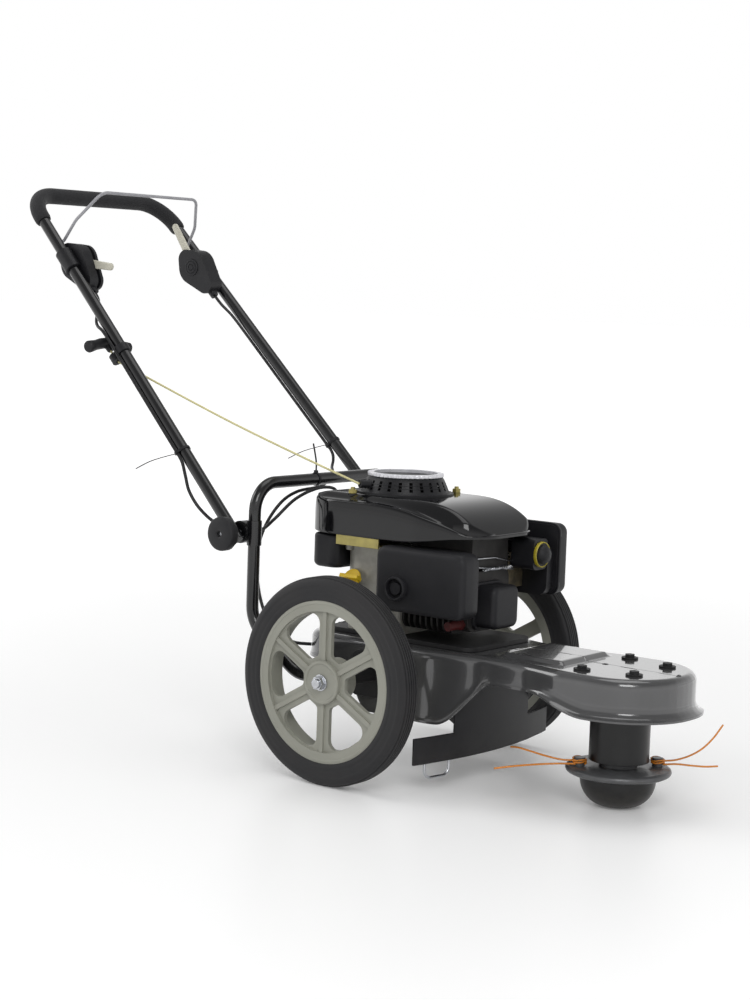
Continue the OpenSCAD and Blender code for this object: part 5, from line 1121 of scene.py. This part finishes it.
plainNodes = dict(
    spindle_bearings="brightSteel", drive_belt="beltRubber", crankshaft="greySteel", flywheel="castAlloy",
    engine_pulley="greySteel", recoil_pulley="mouldedBlack", spindle_shaft="brightSteel",
    spindle_pulley="greySteel", idler_arm="greySteel")
for node, finish in plainNodes.items():
    nodes[node].data.materials.clear()
    nodes[node].data.materials.append(finishes[finish])

# Floor, light and background

stagePlan = dict(
    floor=60.0, pale=0.88, rough=0.4, worldFill=0.55, key=(3.2, -3.4, 3.6, 95.0, 2.2),
    side=(-3.4, -1.6, 2.6, 40.0, 2.0), top=(0.2, 0.4, 4.2, 34.0, 2.6), aim=(0, 0, 0.4), lampGlow=0.42,
    lampReach=5.0, sweepTop=0.22, sweepFade=2.5, ceiling=0.35)


def shownRays(wire):
    # one for what is seen, straight or reflected, and nothing for light on the object
    seen = wire.add("ShaderNodeLightPath")
    rays = seen.socket.node.outputs
    glossy, through = (Wire(wire.tree, rays[f"Is {kind} Ray"]) for kind in ("Glossy", "Transmission"))
    return wire.maths("MAXIMUM", seen, wire.maths("MAXIMUM", glossy, through))


def makeFloor(own):
    # lit by the lamps near the machine and by its own glow further out, an even white
    half = own["floor"]
    mesh = bpy.data.meshes.new("floor")
    corners = [(-half, -half, 0), (half, -half, 0), (half, half, 0), (-half, half, 0)]
    mesh.from_pydata(corners, [], [(0, 1, 2, 3)])
    linked("floor", mesh)
    material, shader, wire = newFinish("paleFloor")
    shader.inputs["Base Color"].default_value = (*[own["pale"]] * 3, 1)
    shader.inputs["Roughness"].default_value = own["rough"]
    shader.inputs["Emission Color"].default_value = (1, 1, 1, 1)
    spot = wire.add("ShaderNodeTexCoord", out=3)
    reach = wire.add("ShaderNodeVectorMath", {"operation": "LENGTH"}, {0: spot}, 1)
    away = (reach * (1 / own["lampReach"])).clamped()
    lampless = away * away * (3 - 2 * away)
    missing = 1 - own["pale"] * own["worldFill"] - own["lampGlow"]
    shown = shownRays(wire) * (lampless * own["lampGlow"] + missing)
    wire.tree.links.new(shown.socket, shader.inputs["Emission Strength"])
    mesh.materials.append(material)


def makeLamps(own):
    for name in ("key", "side", "top"):
        *spot, power, size = own[name]
        lamp = bpy.data.lights.new(name, "AREA")
        lamp.energy, lamp.size = power, size
        light = linked(name, lamp)
        light.location = spot
        light.rotation_euler = (Vector(own["aim"]) - Vector(spot)).to_track_quat("-Z", "Y").to_euler()


def makeBackground(own):
    # white where it is seen, up to the sweep's end above the horizon, and a dimmer fill for light
    world = bpy.data.worlds.new("pale")
    scene.world = world
    world.use_nodes = True
    wire = Wire(world.node_tree)
    shown = shownRays(wire)
    back = wire.tree.nodes["Background"]
    back.inputs["Color"].default_value = (1, 1, 1, 1)
    rise = wire.add("ShaderNodeTexCoord").part(2)
    overhead = ((rise - own["sweepTop"]) * own["sweepFade"]).clamped()
    strength = shown * (1 - overhead * (1 - own["ceiling"])) + (1 - shown) * own["worldFill"]
    wire.tree.links.new(strength.socket, back.inputs["Strength"])


makeFloor(stagePlan)
makeLamps(stagePlan)
makeBackground(stagePlan)
print("stage made")
